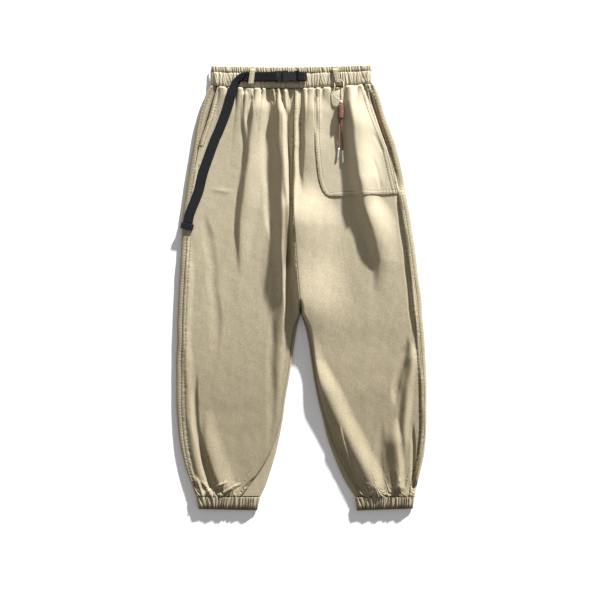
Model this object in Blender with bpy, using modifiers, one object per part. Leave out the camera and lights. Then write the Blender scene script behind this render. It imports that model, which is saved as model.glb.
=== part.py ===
"""Casual trousers laid flat, waist toward +Y, front up, back panels on the ground."""
import math

import bmesh
import bpy
from mathutils import Vector
from mathutils.bvhtree import BVHTree

for old in list(bpy.data.objects):
    bpy.data.objects.remove(old)

MM = 0.001

# Cloth and seams, in millimetres
TWILL = 1.2
STEEPEST = 1.7
BAND_WALL = 2.2
SEAM = 0.3
WEBBING = 1.4
BACK_WAIST_LIFT = 0.6

# Resting heights of the front cloth
BODY_HEIGHT = 10.0
INSEAM_HEIGHT = 6.0
INSEAM_ROLL = 15.0
LOWEST_FRONT = 4.4
CROTCH_Y = -50.9
CROTCH_BLEND = 30.0

# Panel grid
COLUMNS = 20
PANEL_ROWS = (421.6, 410, 395, 374, 348, 318, 286, 252, 217, 181, 145, 108, 70, 32, -8, -50.9,
              -80, -120, -165, -210, -255, -298, -338, -374, -406, -426, -437.3)
# The panels' rows are level from here down
LEVEL_ROW = 374.0
FACING_ROWS = (421.6, 410, 395, 374, 348, 318, 286, 262)
# How far the facing runs under the front, and how far it lies below it
FACING_UNDER = 8.0
FACING_DROP = 3.2

# Outline of the laid garment: one row per height, x of each edge
# y, right outer, right side seam, right pocket slit, right inseam, right inner,
# left inner, left inseam, left side seam, left outer
OUTLINE = (
    (421.6, -191.5, -185.8, -175.8, -13.7, -13.7, -13.7, -13.7, 146.0, 151.6),
    (396.4, -204.8, -198.5, -183.8, -13.7, -13.7, -13.7, -13.7, 155.4, 164.8),
    (354.4, -217.4, -211.1, -196.3, -14.7, -14.7, -14.7, -14.7, 169.1, 179.6),
    (301.9, -226.8, -218.4, -214.2, -15.8, -15.8, -15.8, -15.8, 186.9, 198.5),
    (249.4, -236.2, -224.7, -224.7, -17.9, -17.9, -17.9, -17.9, 200.6, 211.1),
    (196.9, -243.6, -233.1, -233.1, -18.9, -18.9, -18.9, -18.9, 210.0, 220.5),
    (144.4, -251.0, -239.4, -239.4, -15.8, -15.8, -15.8, -15.8, 219.5, 230.0),
    (81.4, -253.1, -242.6, -242.6, -11.6, -11.6, -11.6, -11.6, 228.9, 239.4),
    (18.4, -257.2, -246.8, -246.8, -6.3, -6.3, -6.3, -6.3, 237.3, 246.8),
    (-23.6, -259.4, -248.9, -248.9, -3.2, -3.2, -3.2, -3.2, 242.6, 253.1),
    (-50.9, -260.4, -249.9, -249.9, -2.1, -2.1, -2.1, -2.1, 244.7, 254.1),
    (-76.1, -261.4, -251.0, -251.0, -12.6, -8.4, 6.3, 10.5, 246.8, 256.2),
    (-107.6, -261.4, -251.0, -251.0, -18.9, -13.7, 13.7, 17.9, 249.9, 259.4),
    (-149.6, -263.6, -253.1, -253.1, -25.2, -19.9, 19.9, 24.2, 253.1, 261.4),
    (-191.6, -263.6, -253.1, -253.1, -31.5, -26.2, 26.2, 30.5, 256.2, 263.6),
    (-233.6, -263.6, -253.1, -253.1, -38.9, -33.6, 34.6, 38.9, 257.2, 263.6),
    (-275.6, -261.4, -251.0, -251.0, -44.1, -38.9, 45.1, 50.4, 257.2, 263.6),
    (-317.6, -257.2, -247.8, -247.8, -55.7, -47.2, 55.7, 63.0, 256.2, 261.4),
    (-349.1, -251.0, -242.6, -242.6, -67.2, -54.6, 67.2, 76.7, 252.0, 258.3),
    (-380.6, -242.6, -235.2, -235.2, -85.0, -64.0, 79.8, 93.5, 245.7, 251.0),
    (-412.1, -231.0, -225.8, -225.8, -108.2, -74.5, 95.5, 111.3, 238.4, 243.6),
    (-437.3, -221.6, -217.4, -217.4, -129.2, -86.1, 112.4, 127.1, 233.1, 238.4),
)
EDGES = ("y", "right_outer", "right_seam", "right_slit", "right_inseam", "right_inner",
         "left_inner", "left_inseam", "left_seam", "left_outer")

# Folds: name, start x y, middle x y, end x y, rise, left width, right width, fade in, fade out
FOLDS = (
    ("hip ridge", -94, 413, -108, 291, -129, 102, 13, 16, 34, 12, 90),
    ("hip pleat", -120, 413, -119, 371, -117, 323, 7, 10, 9, 8, 30),
    ("lap hollow", -64, 413, -62, 270, -52, 134, -6, 12, 12, 10, 30),
    ("lap ridge", -46, 413, -39, 291, -26, 161, 16, 17, 11, 12, 22),
    ("fly ridge", -13, 413, -14, 291, -17, 155, 9, 9, 9, 10, 60),
    ("rise hollow", -70, 119, -64, 18, -45, -118, -5, 22, 22, 12, 60),
    ("rise tongue", -42, 56, -37, -34, -22, -118, 8, 10, 8, 25, 20),
    ("rise edge", 3, 207, 7, 92, 16, -24, 18, 15, 42, 60, 40),
    ("thigh crest", 17, 413, 19, 291, 26, 155, 12, 12, 22, 10, 60),
    ("shin crest", 20, -24, 68, -250, 152, -431, 16, 26, 34, 60, 12),
    ("pocket fold", 108, 413, 121, 312, 129, 195, 17, 26, 28, 10, 34),
    ("thigh fold", 136, 195, 155, 108, 178, -24, 17, 26, 46, 34, 60),
    ("outseam ridge", 211, 207, 230, 71, 247, -97, 7, 12, 9, 24, 30),
    ("knee crease", 220, -118, 205, -181, 198, -229, -5, 12, 10, 20, 20),
    ("calf ridge", 232, -129, 222, -234, 213, -339, 9, 14, 14, 20, 30),
    ("ankle ridge", 215, -297, 215, -370, 213, -423, 11, 16, 12, 30, 8),
    ("ankle hollow", 186, -286, 184, -360, 184, -427, -5, 18, 14, 30, 8),
    ("outer ridge", -238, -202, -232, -307, -207, -412, 8, 12, 12, 40, 12),
    ("outer groove", -222, -202, -215, -328, -186, -425, -5, 10, 10, 40, 8),
    ("shin swell", -198, -297, -186, -370, -163, -423, 8, 14, 26, 30, 12),
    ("thigh side ridge", -238, 81, -243, -66, -240, -202, 4, 12, 14, 40, 40),
    ("knee hollow", -60, -87, -60, -171, -66, -297, -3, 14, 12, 30, 50),
)

# Waistband: bottom and top edge, x and y
BAND_BOTTOM = ((-190.0, 426.8), (-3.0, 421.6), (148.0, 431.2))
BAND_EDGE = 0.35
BAND_TOP = ((-190.0, 467.8), (-3.0, 465.7), (148.0, 469.9))
BAND_HEIGHT = 9.2
BAND_GATHERS = 40
BACK_GATHERS = 20
GATHER_DEPTH = 1.4
# Gathers drift from even spacing by this share of their width
GATHER_DRIFT = 0.22
DRIFT_STEP = 2.4
# Across the band, bottom to top: share of its width, bulge, share of gather depth
BAND_PROFILE = ((0.0, 0.0, 0.5), (0.12, 0.6, 1.0), (0.55, 0.8, 1.0),
                (0.70, -0.7, 0.3), (0.80, 0.6, 1.0), (1.0, 0.0, 0.8))
BACK_PROFILE = ((0.0, 0.0, 1.0), (0.5, 0.0, 1.0), (1.0, 0.0, 1.0))
END_ROLL = 14.0
END_HEIGHT = 4.6

# Cuffs: top left, top right, bottom left, bottom right, x and y
CUFFS = {
    "right": ((-221.6, -438.0), (-86.1, -438.0), (-216.3, -464.0), (-93.5, -466.6)),
    "left": ((112.4, -438.0), (238.4, -438.0), (116.6, -467.0), (234.2, -463.0)),
}
CUFF_GATHERS = 14
CUFF_HEIGHT = 11.5
CUFF_PROFILE = ((0.0, 0.0, 0.6), (0.35, 0.9, 1.0), (0.75, 0.7, 1.0), (1.0, -0.5, 0.8))

# Waist gathers of the panels: height at the band and how far they run down
PANEL_GATHER = 3.4
PANEL_GATHER_RUN = 42.0
ANKLE_GATHER = 2.6
ANKLE_GATHER_RUN = 24.0

# Patch pocket on the left front, corner by corner: x and y
POCKET_EDGE = ((28.0, 440.0), (28.2, 398.0), (29.4, 302.0), (33.6, 256.0), (40.6, 219.0),
               (47.5, 201.0), (60.0, 193.5), (200.0, 199.5))
POCKET_OPENING = ((131.0, 422.0), (179.5, 295.5), (203.5, 190.0))
POCKET_LIFT = 0.6
POCKET_WALL = 1.5

# Belt loops: top x, bottom x, width, gap kept under the loop
LOOPS = {"right": (-101.8, -107.1, 11.0, 4.2), "left": (69.3, 78.3, 11.0, 3.6)}

# Belt webbing and buckle
STRAP_WIDTH = 20.0
BELT_Y = 444.5
BUCKLE_Z = 16.9
BAR_X = -53.3
WRAP = 3.0
STRAP_START_X = -118.0
CREASE_HIGH = (-114.5, 454.5)
CREASE_LOW = (-141.0, 434.5)
CREASE_WRAP = 1.6
TAIL_LINE = ((-144.9, 414.6), (-150.6, 396.0), (-159.4, 367.8), (-172.2, 334.2), (-180.2, 316.8),
             (-193.4, 281.3), (-206.9, 241.8), (-214.8, 208.2), (-222.2, 187.8), (-234.2, 157.5),
             (-238.4, 138.0))
END_CAP = ((-236.6, 147.5), (-241.6, 124.5), 27.0, 4.6)

# Charm cords
CREAM_CORD = 2.2
BROWN_CORD = 3.0
TIP = 3.6
KNOT = 12.0


collection = bpy.data.collections.new("casual_trousers")
bpy.context.scene.collection.children.link(collection)
cutters = bpy.data.collections.new("cutters")
bpy.context.scene.collection.children.link(cutters)
cutters.hide_render = True

COLOURS = {
    "twill": ((0.56, 0.47, 0.33, 1.0), 0.9, 0.0),
    "webbing": ((0.022, 0.022, 0.024, 1.0), 0.8, 0.0),
    "plastic": ((0.018, 0.018, 0.02, 1.0), 0.45, 0.0),
    "cream_cord": ((0.72, 0.66, 0.52, 1.0), 0.85, 0.0),
    "brown_cord": ((0.17, 0.075, 0.03, 1.0), 0.85, 0.0),
    "metal": ((0.75, 0.75, 0.74, 1.0), 0.3, 1.0),
}


def dress(obj, slot):
    """Give the piece its own material and put it in the garment's collection."""
    colour, rough, metal = COLOURS[slot]
    material = bpy.data.materials.new(obj.name + "_" + slot)
    material.use_nodes = True
    shader = material.node_tree.nodes["Principled BSDF"]
    shader.inputs["Base Color"].default_value = colour
    shader.inputs["Roughness"].default_value = rough
    shader.inputs["Metallic"].default_value = metal
    material.diffuse_color = colour
    obj.data.materials.append(material)
    collection.objects.link(obj)
    return obj


def mesh_object(name, points, faces, slot):
    """A piece from points in millimetres."""
    mesh = bpy.data.meshes.new(name)
    mesh.from_pydata([[c * MM for c in p] for p in points], [], faces)
    mesh.validate()
    mesh.update()
    return dress(bpy.data.objects.new(name, mesh), slot)


def wall(obj, thickness, offset=-1.0):
    """Give an open surface its cloth thickness."""
    solid = obj.modifiers.new("wall", "SOLIDIFY")
    solid.thickness = thickness * MM
    solid.offset = offset
    solid.use_rim = True
    return obj


def cloth(name, rows, slot, thickness, flip=False, offset=-1.0):
    """A cloth piece through rows of points; the first row is the top edge."""
    wide = len(rows[0])
    points = [p for row in rows for p in row]
    faces = []
    for i in range(len(rows) - 1):
        for j in range(wide - 1):
            a, b = i * wide + j, (i + 1) * wide + j
            corners = ((a, b, b + 1), (a, b + 1, a + 1))
            faces += [tuple(reversed(c)) if flip else c for c in corners]
    return wall(mesh_object(name, points, faces, slot), thickness, offset)


def draped(name, rows, slot, thickness):
    """A cloth piece whose wall hangs straight down from its face, so seams stay clear."""
    wide, tall = len(rows[0]), len(rows)
    points = [p for row in rows for p in row]
    under = []
    for i, row in enumerate(rows):
        for j, (x, y, z) in enumerate(row):
            a, b = row[max(j - 1, 0)], row[min(j + 1, wide - 1)]
            slope = (b[2] - a[2]) / (b[0] - a[0])
            drop = thickness * min(math.hypot(1.0, slope), STEEPEST)
            under.append((x, y, z - drop))
    count = len(points)
    faces = []
    for i in range(tall - 1):
        for j in range(wide - 1):
            a, b = i * wide + j, (i + 1) * wide + j
            for c in ((a, b, b + 1), (a, b + 1, a + 1)):
                faces.append(c)
                faces.append(tuple(k + count for k in reversed(c)))
    ring = [j for j in range(wide)]
    ring += [i * wide + wide - 1 for i in range(1, tall)]
    ring += [(tall - 1) * wide + j for j in range(wide - 2, -1, -1)]
    ring += [i * wide for i in range(tall - 2, 0, -1)]
    for k, a in enumerate(ring):
        b = ring[(k + 1) % len(ring)]
        faces += [(a, b, b + count), (a, b + count, a + count)]
    return mesh_object(name, points + under, faces, slot)


def surface_of(obj):
    """The finished piece as a surface that other pieces can be laid on."""
    graph = bpy.context.evaluated_depsgraph_get()
    return BVHTree.FromObject(obj, graph)


def laid_height(surfaces, x, y, reach=0.0):
    """Highest cloth at a place and just round it."""
    top = 0.0
    steps = ((0, 0),) if reach == 0 else ((0, 0), (1, 0), (-1, 0), (0, 1), (0, -1),
                                          (0.7, 0.7), (-0.7, 0.7), (0.7, -0.7), (-0.7, -0.7))
    for dx, dy in steps:
        start = Vector(((x + dx * reach) * MM, (y + dy * reach) * MM, 0.2))
        for surface in surfaces:
            hit = surface.ray_cast(start, Vector((0, 0, -1)))[0]
            if hit:
                top = max(top, hit.z / MM)
    return top


def smooth_value(table, column, y):
    """Value of one outline column at a height, on a smooth curve through the rows."""
    rows = table
    if y >= rows[0][0]:
        return rows[0][column]
    if y <= rows[-1][0]:
        return rows[-1][column]
    k = 0
    while rows[k + 1][0] > y:
        k += 1

    def lean(i):
        if i == 0 or i == len(rows) - 1:
            j = max(i - 1, 0)
            return (rows[j + 1][column] - rows[j][column]) / (rows[j + 1][0] - rows[j][0])
        return (rows[i + 1][column] - rows[i - 1][column]) / (rows[i + 1][0] - rows[i - 1][0])

    y0, y1 = rows[k][0], rows[k + 1][0]
    span = y1 - y0
    t = (y - y0) / span
    v0, v1 = rows[k][column], rows[k + 1][column]
    m0, m1 = lean(k) * span, lean(k + 1) * span
    return ((2 * t**3 - 3 * t**2 + 1) * v0 + (t**3 - 2 * t**2 + t) * m0
            + (3 * t**2 - 2 * t**3) * v1 + (t**3 - t**2) * m1)


HIPS = tuple(row for row in OUTLINE if row[0] >= CROTCH_Y)
LEGS = tuple(row for row in OUTLINE if row[0] <= CROTCH_Y)


def edge(name, y):
    """x of a named edge at a height; the inner edges turn sharply at the crotch."""
    column = EDGES.index(name)
    if "inseam" in name or "inner" in name:
        return smooth_value(HIPS if y >= CROTCH_Y else LEGS, column, y)
    return smooth_value(OUTLINE, column, y)


def ease(t):
    """Soft step from 0 to 1."""
    t = min(max(t, 0.0), 1.0)
    return t * t * (3 - 2 * t)


def through(points, x):
    """Smooth curve through three points."""
    (x0, y0), (x1, y1), (x2, y2) = points
    return (y0 * (x - x1) * (x - x2) / ((x0 - x1) * (x0 - x2))
            + y1 * (x - x0) * (x - x2) / ((x1 - x0) * (x1 - x2))
            + y2 * (x - x0) * (x - x1) / ((x2 - x0) * (x2 - x1)))


def fold_rise(x, y):
    """Sum of the folds at a place."""
    total = 0.0
    for name, x0, y0, x1, y1, x2, y2, rise, left, right, fade_in, fade_out in FOLDS:
        if y > y0 + fade_in or y < y2 - fade_out:
            continue
        along = min(max(y, y2), y0)
        crest = through(((y0, x0), (y1, x1), (y2, x2)), along)
        side = (x - crest) / (right if x > crest else left)
        if abs(side) >= 1:
            continue
        run_in = ease((y0 + fade_in - y) / (2 * fade_in))
        run_out = ease((y - y2 + fade_out) / (2 * fade_out))
        total += rise * math.cos(side * math.pi / 2) ** 2 * run_in * run_out
    return total


def inseam_curl(y):
    """0 where the two fronts are joined, 1 where the leg's inner edge rolls down."""
    return ease((CROTCH_Y + CROTCH_BLEND - y) / CROTCH_BLEND)


def front_height(x, y):
    """Height of the front cloth's outer face."""
    height = max(BODY_HEIGHT + fold_rise(x, y), LOWEST_FRONT)
    curl = inseam_curl(y)
    if curl > 0:
        inner = edge("right_inseam", y) - x if x < 0 else x - edge("left_inseam", y)
        t = min(max(inner / INSEAM_ROLL, 0.0), 1.0)
        rolled = INSEAM_HEIGHT + (height - INSEAM_HEIGHT) * math.sqrt(1 - (1 - t) ** 2)
        height += curl * (min(rolled, height) - height)
    return height


def bend_row(x, y):
    """Row height moved so that the top row follows the waistband's lower edge."""
    share = ease((y - LEVEL_ROW) / (PANEL_ROWS[0] - LEVEL_ROW))
    return y + share * (through(BAND_BOTTOM, x) - SEAM - PANEL_ROWS[0])


def front_panel(low_edge, high_edge, low_gap, high_gap):
    """Outer face of a front leg panel with its folds and gathers, row by row."""
    rows = []
    for y in PANEL_ROWS:
        low = edge(low_edge, y) + low_gap
        high = edge(high_edge, y) - high_gap
        row = []
        for j in range(COLUMNS + 1):
            x = low + (high - low) * j / COLUMNS
            z = front_height(x, y)
            if 0 < j < COLUMNS and j % 2 == 1:
                z += PANEL_GATHER * ease(1 - (PANEL_ROWS[0] - y) / PANEL_GATHER_RUN)
                z += ANKLE_GATHER * ease(1 - (y - PANEL_ROWS[-1]) / ANKLE_GATHER_RUN)
            row.append((x, bend_row(x, y), z))
        rows.append(row)
    return rows


def rolled_edge(seam_x, seam_z, outer_x, steps):
    """From the seam over the edge of the garment and down to the ground."""
    middle = seam_z / 2
    way = 1 if outer_x > seam_x else -1
    points = [(seam_x, seam_z)]
    seam_x += way * min(1.6, abs(outer_x - seam_x) * 0.4)
    for k in range(steps, 0, -1):
        angle = math.pi / 2 * k / steps
        points.append((outer_x - way * abs(outer_x - seam_x) * (1 - math.cos(angle)),
                       middle + (seam_z - middle) * math.sin(angle)))
    for k in range(steps + 1):
        angle = math.pi / 2 * k / steps
        points.append((outer_x - way * middle * (1 - math.cos(angle)),
                       middle * (1 - math.sin(angle))))
    return points


def back_panel(name, side):
    """A back leg panel: flat on the ground, rolled up to both seams."""
    way = -1 if side == "right" else 1
    rows = []
    for y in PANEL_ROWS:
        seam = edge(side + "_seam", y)
        outer = edge(side + "_outer", y)
        inseam = edge(side + "_inseam", y)
        inner = edge(side + "_inner", y)
        curl = inseam_curl(y)
        section = rolled_edge(seam, front_height(seam, y), outer, 2)
        roll = rolled_edge(inseam, INSEAM_HEIGHT - 0.2, inner, 2)
        roll = [(x + way * SEAM / 2, z) for x, z in roll]
        flat = [(inseam + way * (SEAM / 2 + 3.0 * k), 0.0) for k in range(len(roll))]
        close = [(f[0] + curl * (r[0] - f[0]), f[1] + curl * (r[1] - f[1])) for f, r in zip(flat, roll)]
        close.reverse()
        start, stop = section[-1][0], close[0][0]
        section += [(start + (stop - start) * k / 4, 0.0) for k in range(1, 4)]
        section += close
        rows.append([(x, bend_row(x, y), z) for x, z in section])
    return cloth(name, rows, "twill", TWILL, flip=(side == "right"))


right_rows = front_panel("right_slit", "right_inseam", SEAM, SEAM / 2)
left_rows = front_panel("left_inseam", "left_seam", SEAM / 2, SEAM)
front_right = draped("front_right", right_rows, "twill", TWILL)
front_left = draped("front_left", left_rows, "twill", TWILL)
back_right = back_panel("back_right", "right")
back_left = back_panel("back_left", "left")


# Facing behind the right pocket's slit
facing = []
for y in FACING_ROWS:
    seam = edge("right_seam", y)
    slit = edge("right_slit", y)
    seam_z = front_height(seam, y)
    under = min(front_height(slit + FACING_UNDER, y), seam_z) - FACING_DROP
    line = bend_row(slit, y) - SEAM
    facing.append([(seam + 0.5, line, seam_z - SEAM), ((seam + slit) / 2 + 0.5, line, seam_z - 1.4),
                   (slit - 1.0, line, under), (slit + FACING_UNDER, line, under - 0.4)])
pocket_facing = draped("pocket_facing", facing, "twill", 1.0)


def band_height(x, ends, top, low):
    """Height of a gathered band along its length, rolled down at both ends."""
    near = min(x - ends[0], ends[1] - x)
    t = min(max(near / END_ROLL, 0.0), 1.0)
    return low + (top - low) * math.sqrt(1 - (1 - t) ** 2)


def gathered_band(name, top_line, bottom_line, gathers, profile, top, low, thickness, flip):
    """An elastic band: gathers stand up between narrow creases."""
    ends = (top_line[0][0], top_line[-1][0])
    bottom_ends = (bottom_line[0][0], bottom_line[-1][0])
    count = gathers * 3
    rows = []
    for share, bulge, depth in reversed(profile):
        row = []
        for j in range(count + 1):
            u = j / count
            u += GATHER_DRIFT / gathers * math.sin(j * DRIFT_STEP) * (0 < j < count)
            x_top = ends[0] + (ends[1] - ends[0]) * u
            x_low = bottom_ends[0] + (bottom_ends[1] - bottom_ends[0]) * u
            x = x_low + (x_top - x_low) * share
            low_y = BAND_EDGE + through(bottom_line, x_low) if len(bottom_line) == 3 else (
                bottom_line[0][1] + (bottom_line[1][1] - bottom_line[0][1]) * u)
            high_y = through(top_line, x_top) if len(top_line) == 3 else (
                top_line[0][1] + (top_line[1][1] - top_line[0][1]) * u)
            y = low_y + (high_y - low_y) * share
            left = bottom_ends[0] + (ends[0] - bottom_ends[0]) * share
            right = bottom_ends[1] + (ends[1] - bottom_ends[1]) * share
            z = band_height(x, (left, right), top, low)
            z += bulge * min(1.0, (z - low) / max(top - low, 0.1)) if top > low else bulge
            if j % 3 and 0 < j < count:
                z += GATHER_DEPTH * depth * (1 if top > low else BACK_WAIST_LIFT)
            row.append((x, y, z))
        rows.append(row)
    if flip:
        for row in rows:
            for k, (x, y, z) in enumerate(row):
                row[k] = (x, y, z - low)
    return cloth(name, rows, "twill", thickness, flip=flip)


def inset(line, amount):
    """The same line, shorter at both ends."""
    points = [list(p) for p in line]
    points[0][0] += amount
    points[-1][0] -= amount
    return [tuple(p) for p in points]


waistband_front = gathered_band("waistband_front", BAND_TOP, BAND_BOTTOM, BAND_GATHERS,
                                BAND_PROFILE, BAND_HEIGHT, END_HEIGHT, BAND_WALL, False)
waistband_back = gathered_band("waistband_back", inset(BAND_TOP, 1.5), inset(BAND_BOTTOM, 1.5),
                               BACK_GATHERS, BACK_PROFILE, 0.0, 0.0, BAND_WALL - 0.6, True)
for side, (tl, tr, bl, br) in CUFFS.items():
    gathered_band("cuff_" + side + "_front", (tl, tr), (bl, br), CUFF_GATHERS,
                  CUFF_PROFILE, CUFF_HEIGHT, END_HEIGHT, BAND_WALL, False)
    gathered_band("cuff_" + side + "_back", inset((tl, tr), 1.5), inset((bl, br), 1.5), CUFF_GATHERS,
                  BACK_PROFILE, 0.0, 0.0, BAND_WALL - 0.6, True)


def cut_line(cloth_mesh, start, stop, keep):
    """Trim an open surface along an upright plane through two points."""
    along = Vector((stop[0] - start[0], stop[1] - start[1], 0.0))
    across = Vector((along.y, -along.x, 0.0)).normalized() * keep
    bmesh.ops.bisect_plane(cloth_mesh, geom=cloth_mesh.verts[:] + cloth_mesh.edges[:] + cloth_mesh.faces[:],
                           plane_co=Vector((start[0] * MM, start[1] * MM, 0.0)), plane_no=across,
                           clear_outer=True, dist=1e-7)


# Patch pocket: the left front's own face, trimmed to the pocket's edge and moved out
wide = COLUMNS + 1
patch = bmesh.new()
corners = [patch.verts.new([c * MM for c in p]) for row in left_rows for p in row]
for i in range(len(left_rows) - 1):
    for j in range(COLUMNS):
        a, b = i * wide + j, (i + 1) * wide + j
        patch.faces.new([corners[k] for k in (a, b, b + 1)])
        patch.faces.new([corners[k] for k in (a, b + 1, a + 1)])
for k in range(len(POCKET_EDGE) - 1):
    cut_line(patch, POCKET_EDGE[k], POCKET_EDGE[k + 1], 1)
for k in range(len(POCKET_OPENING) - 1):
    cut_line(patch, POCKET_OPENING[k], POCKET_OPENING[k + 1], -1)
for vert in patch.verts:
    vert.co.z += POCKET_LIFT * MM
grown = bmesh.ops.extrude_face_region(patch, geom=patch.faces[:])
for item in grown["geom"]:
    if isinstance(item, bmesh.types.BMVert):
        item.co.z += POCKET_WALL * MM
bmesh.ops.recalc_face_normals(patch, faces=patch.faces[:])
patch_mesh = bpy.data.meshes.new("patch_pocket")
patch.to_mesh(patch_mesh)
patch.free()
patch_pocket = dress(bpy.data.objects.new("patch_pocket", patch_mesh), "twill")

bpy.context.view_layer.update()
band_face = surface_of(waistband_front)
leg_faces = [surface_of(front_right), surface_of(front_left), band_face,
             surface_of(patch_pocket), surface_of(back_right), surface_of(pocket_facing)]


# Highest place on the front band's gathers
BAND_TOP_FACE = BAND_HEIGHT + GATHER_DEPTH + 0.9


# Belt loops, sewn to the band at top and bottom and standing off it between
def belt_loop(side):
    top_x, low_x, width, stand = LOOPS[side]
    rows = []
    for k in range(9):
        t = k / 8
        x = top_x + (low_x - top_x) * t
        y = through(BAND_TOP, x) - 1.2 + (through(BAND_BOTTOM, x) - through(BAND_TOP, x) + 1.6) * t
        lift = stand * min(1.0, math.sin(math.pi * t) * 1.9)
        base = BAND_TOP_FACE + WEBBING + SEAM
        rows.append([(x + dx * width / 2, y, base + lift) for dx in (-1, 0, 1)])
    return cloth("belt_loop_" + side, rows, "twill", WEBBING)


belt_loop_right = belt_loop("right")
belt_loop_left = belt_loop("left")


def strap_from(name, sections, slot, thickness=WEBBING):
    """Webbing through sections, each the two edge points of the strap."""
    rows = [[a, tuple((p + q) / 2 for p, q in zip(a, b)), b] for a, b in sections]
    return cloth(name, rows, slot, thickness, offset=0.0)


# Belt: under layer, round the buckle's bar, back through the loop, oblique fold, hanging tail
half = STRAP_WIDTH / 2
high_y, low_y = BELT_Y + half, BELT_Y - half
under_z = BAND_TOP_FACE + SEAM + WEBBING / 2
over_z = under_z + WEBBING + 0.45
sections = []
for x, z in ((STRAP_START_X, under_z), (-100.0, under_z), (-80.0, under_z),
             (-66.0, (under_z + BUCKLE_Z - WRAP) / 2)):
    sections.append(((x, high_y, z), (x, low_y, z)))
for k in range(7):
    angle = -math.pi / 2 + math.pi * k / 6
    x = BAR_X + WRAP * math.cos(angle)
    z = BUCKLE_Z + WRAP * math.sin(angle)
    sections.append(((x, high_y, z), (x, low_y, z)))
for x, z in ((-66.0, (over_z + BUCKLE_Z + WRAP) / 2 + 0.6), (-80.0, over_z + 0.9), (-95.0, over_z),
             (-108.0, over_z)):
    sections.append(((x, high_y, z), (x, low_y, z)))
crease = Vector((CREASE_HIGH[0] - CREASE_LOW[0], CREASE_HIGH[1] - CREASE_LOW[1])).normalized()
away = Vector((-crease.y, crease.x))
for k in range(7):
    angle = -math.pi / 2 + math.pi * k / 6
    shift = away * CREASE_WRAP * math.cos(angle)
    z = over_z + CREASE_WRAP * (1 + math.sin(angle))
    sections.append(((CREASE_HIGH[0] + shift.x, CREASE_HIGH[1] + shift.y, z),
                     (CREASE_LOW[0] + shift.x, CREASE_LOW[1] + shift.y, z)))
fold_z = over_z + 2 * CREASE_WRAP

# The tail's centre line and the height it rests at
line = [Vector(p) for p in TAIL_LINE]
tail = []
for k, point in enumerate(line):
    before, after = line[max(k - 1, 0)], line[min(k + 1, len(line) - 1)]
    along = (after - before).normalized()
    across = Vector((-along.y, along.x))
    rest = 0.0
    for step in range(-4, 5):
        spot = point + across * half * step / 4
        for slip in (-9, 0, 9):
            place = spot + along * slip
            rest = max(rest, laid_height(leg_faces, place.x, place.y))
    tail.append([point, across, rest + WEBBING / 2 + 0.5])
for turn in range(40):
    for k in range(len(tail)):
        before = fold_z if k == 0 else tail[k - 1][2]
        after = tail[min(k + 1, len(tail) - 1)][2]
        tail[k][2] = max(tail[k][2], (before + after) / 2 - 0.25)
for point, across, z in tail:
    a, b = point - across * half, point + across * half
    sections.append(((a.x, a.y, z), (b.x, b.y, z)))
belt_strap = strap_from("belt_strap", sections, "webbing")

# Sewn end of the tail
(cap_x0, cap_y0), (cap_x1, cap_y1), cap_width, cap_thick = END_CAP
along = Vector((cap_x1 - cap_x0, cap_y1 - cap_y0)).normalized()
across = Vector((-along.y, along.x))
cap_z = laid_height(leg_faces, cap_x0, cap_y0, 12.0) + 0.6 + cap_thick / 2
cap_start = Vector(TAIL_LINE[-1]) + along * 0.4
cap_end = Vector((cap_x1, cap_y1))
cap_z = max(cap_z, tail[-1][2])
rows = []
for spot in (cap_start, (cap_start + cap_end) / 2, cap_end):
    a, b = spot - across * cap_width / 2, spot + across * cap_width / 2
    rows.append([(a.x, a.y, cap_z), (spot.x, spot.y, cap_z), (b.x, b.y, cap_z)])
strap_end = cloth("strap_end", rows, "webbing", cap_thick, offset=0.0)


def prism(name, outline, low, high, slot=None):
    """A plate of even thickness from its outline."""
    count = len(outline)
    points = [(x, y, low) for x, y in outline] + [(x, y, high) for x, y in outline]
    faces = [tuple(reversed(range(count))), tuple(range(count, 2 * count))]
    faces += [(k, (k + 1) % count, count + (k + 1) % count, count + k) for k in range(count)]
    if slot:
        return mesh_object(name, points, faces, slot)
    mesh = bpy.data.meshes.new(name)
    mesh.from_pydata([[c * MM for c in p] for p in points], [], faces)
    obj = bpy.data.objects.new(name, mesh)
    obj.display_type = "WIRE"
    obj.hide_render = True
    cutters.objects.link(obj)
    return obj


def box(x0, x1, y0, y1):
    """Corner points of a rectangle."""
    return ((x0, y0), (x1, y0), (x1, y1), (x0, y1))


def cut(obj, cutter):
    """Take a shape out of a piece."""
    step = obj.modifiers.new("cut_" + cutter.name, "BOOLEAN")
    step.operation = "DIFFERENCE"
    step.solver = "EXACT"
    step.object = cutter


# Buckle, male half: strap bar, plate and two sprung arms
Y = BELT_Y
MALE_HALF = 1.5
male_outline = ((-55.0, Y - 11.6), (-39.4, Y - 11.6), (-39.4, Y - 9.2), (-26.0, Y - 9.2),
                (-25.0, Y - 10.9), (-17.6, Y - 10.9), (-16.0, Y - 8.2), (-20.0, Y - 6.6),
                (-37.0, Y - 6.2), (-37.0, Y - 2.2), (-24.0, Y - 1.6), (-24.0, Y + 1.6),
                (-37.0, Y + 2.2), (-37.0, Y + 6.2), (-20.0, Y + 6.6), (-16.0, Y + 8.2),
                (-17.6, Y + 10.9), (-25.0, Y + 10.9), (-26.0, Y + 9.2), (-39.4, Y + 9.2),
                (-39.4, Y + 11.6), (-55.0, Y + 11.6))
buckle_male = prism("buckle_male", male_outline, BUCKLE_Z - MALE_HALF, BUCKLE_Z + MALE_HALF, "plastic")
cut(buckle_male, prism("strap_window", box(-51.9, -44.0, Y - 10.4, Y + 10.4), BUCKLE_Z - 5, BUCKLE_Z + 5))

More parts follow.
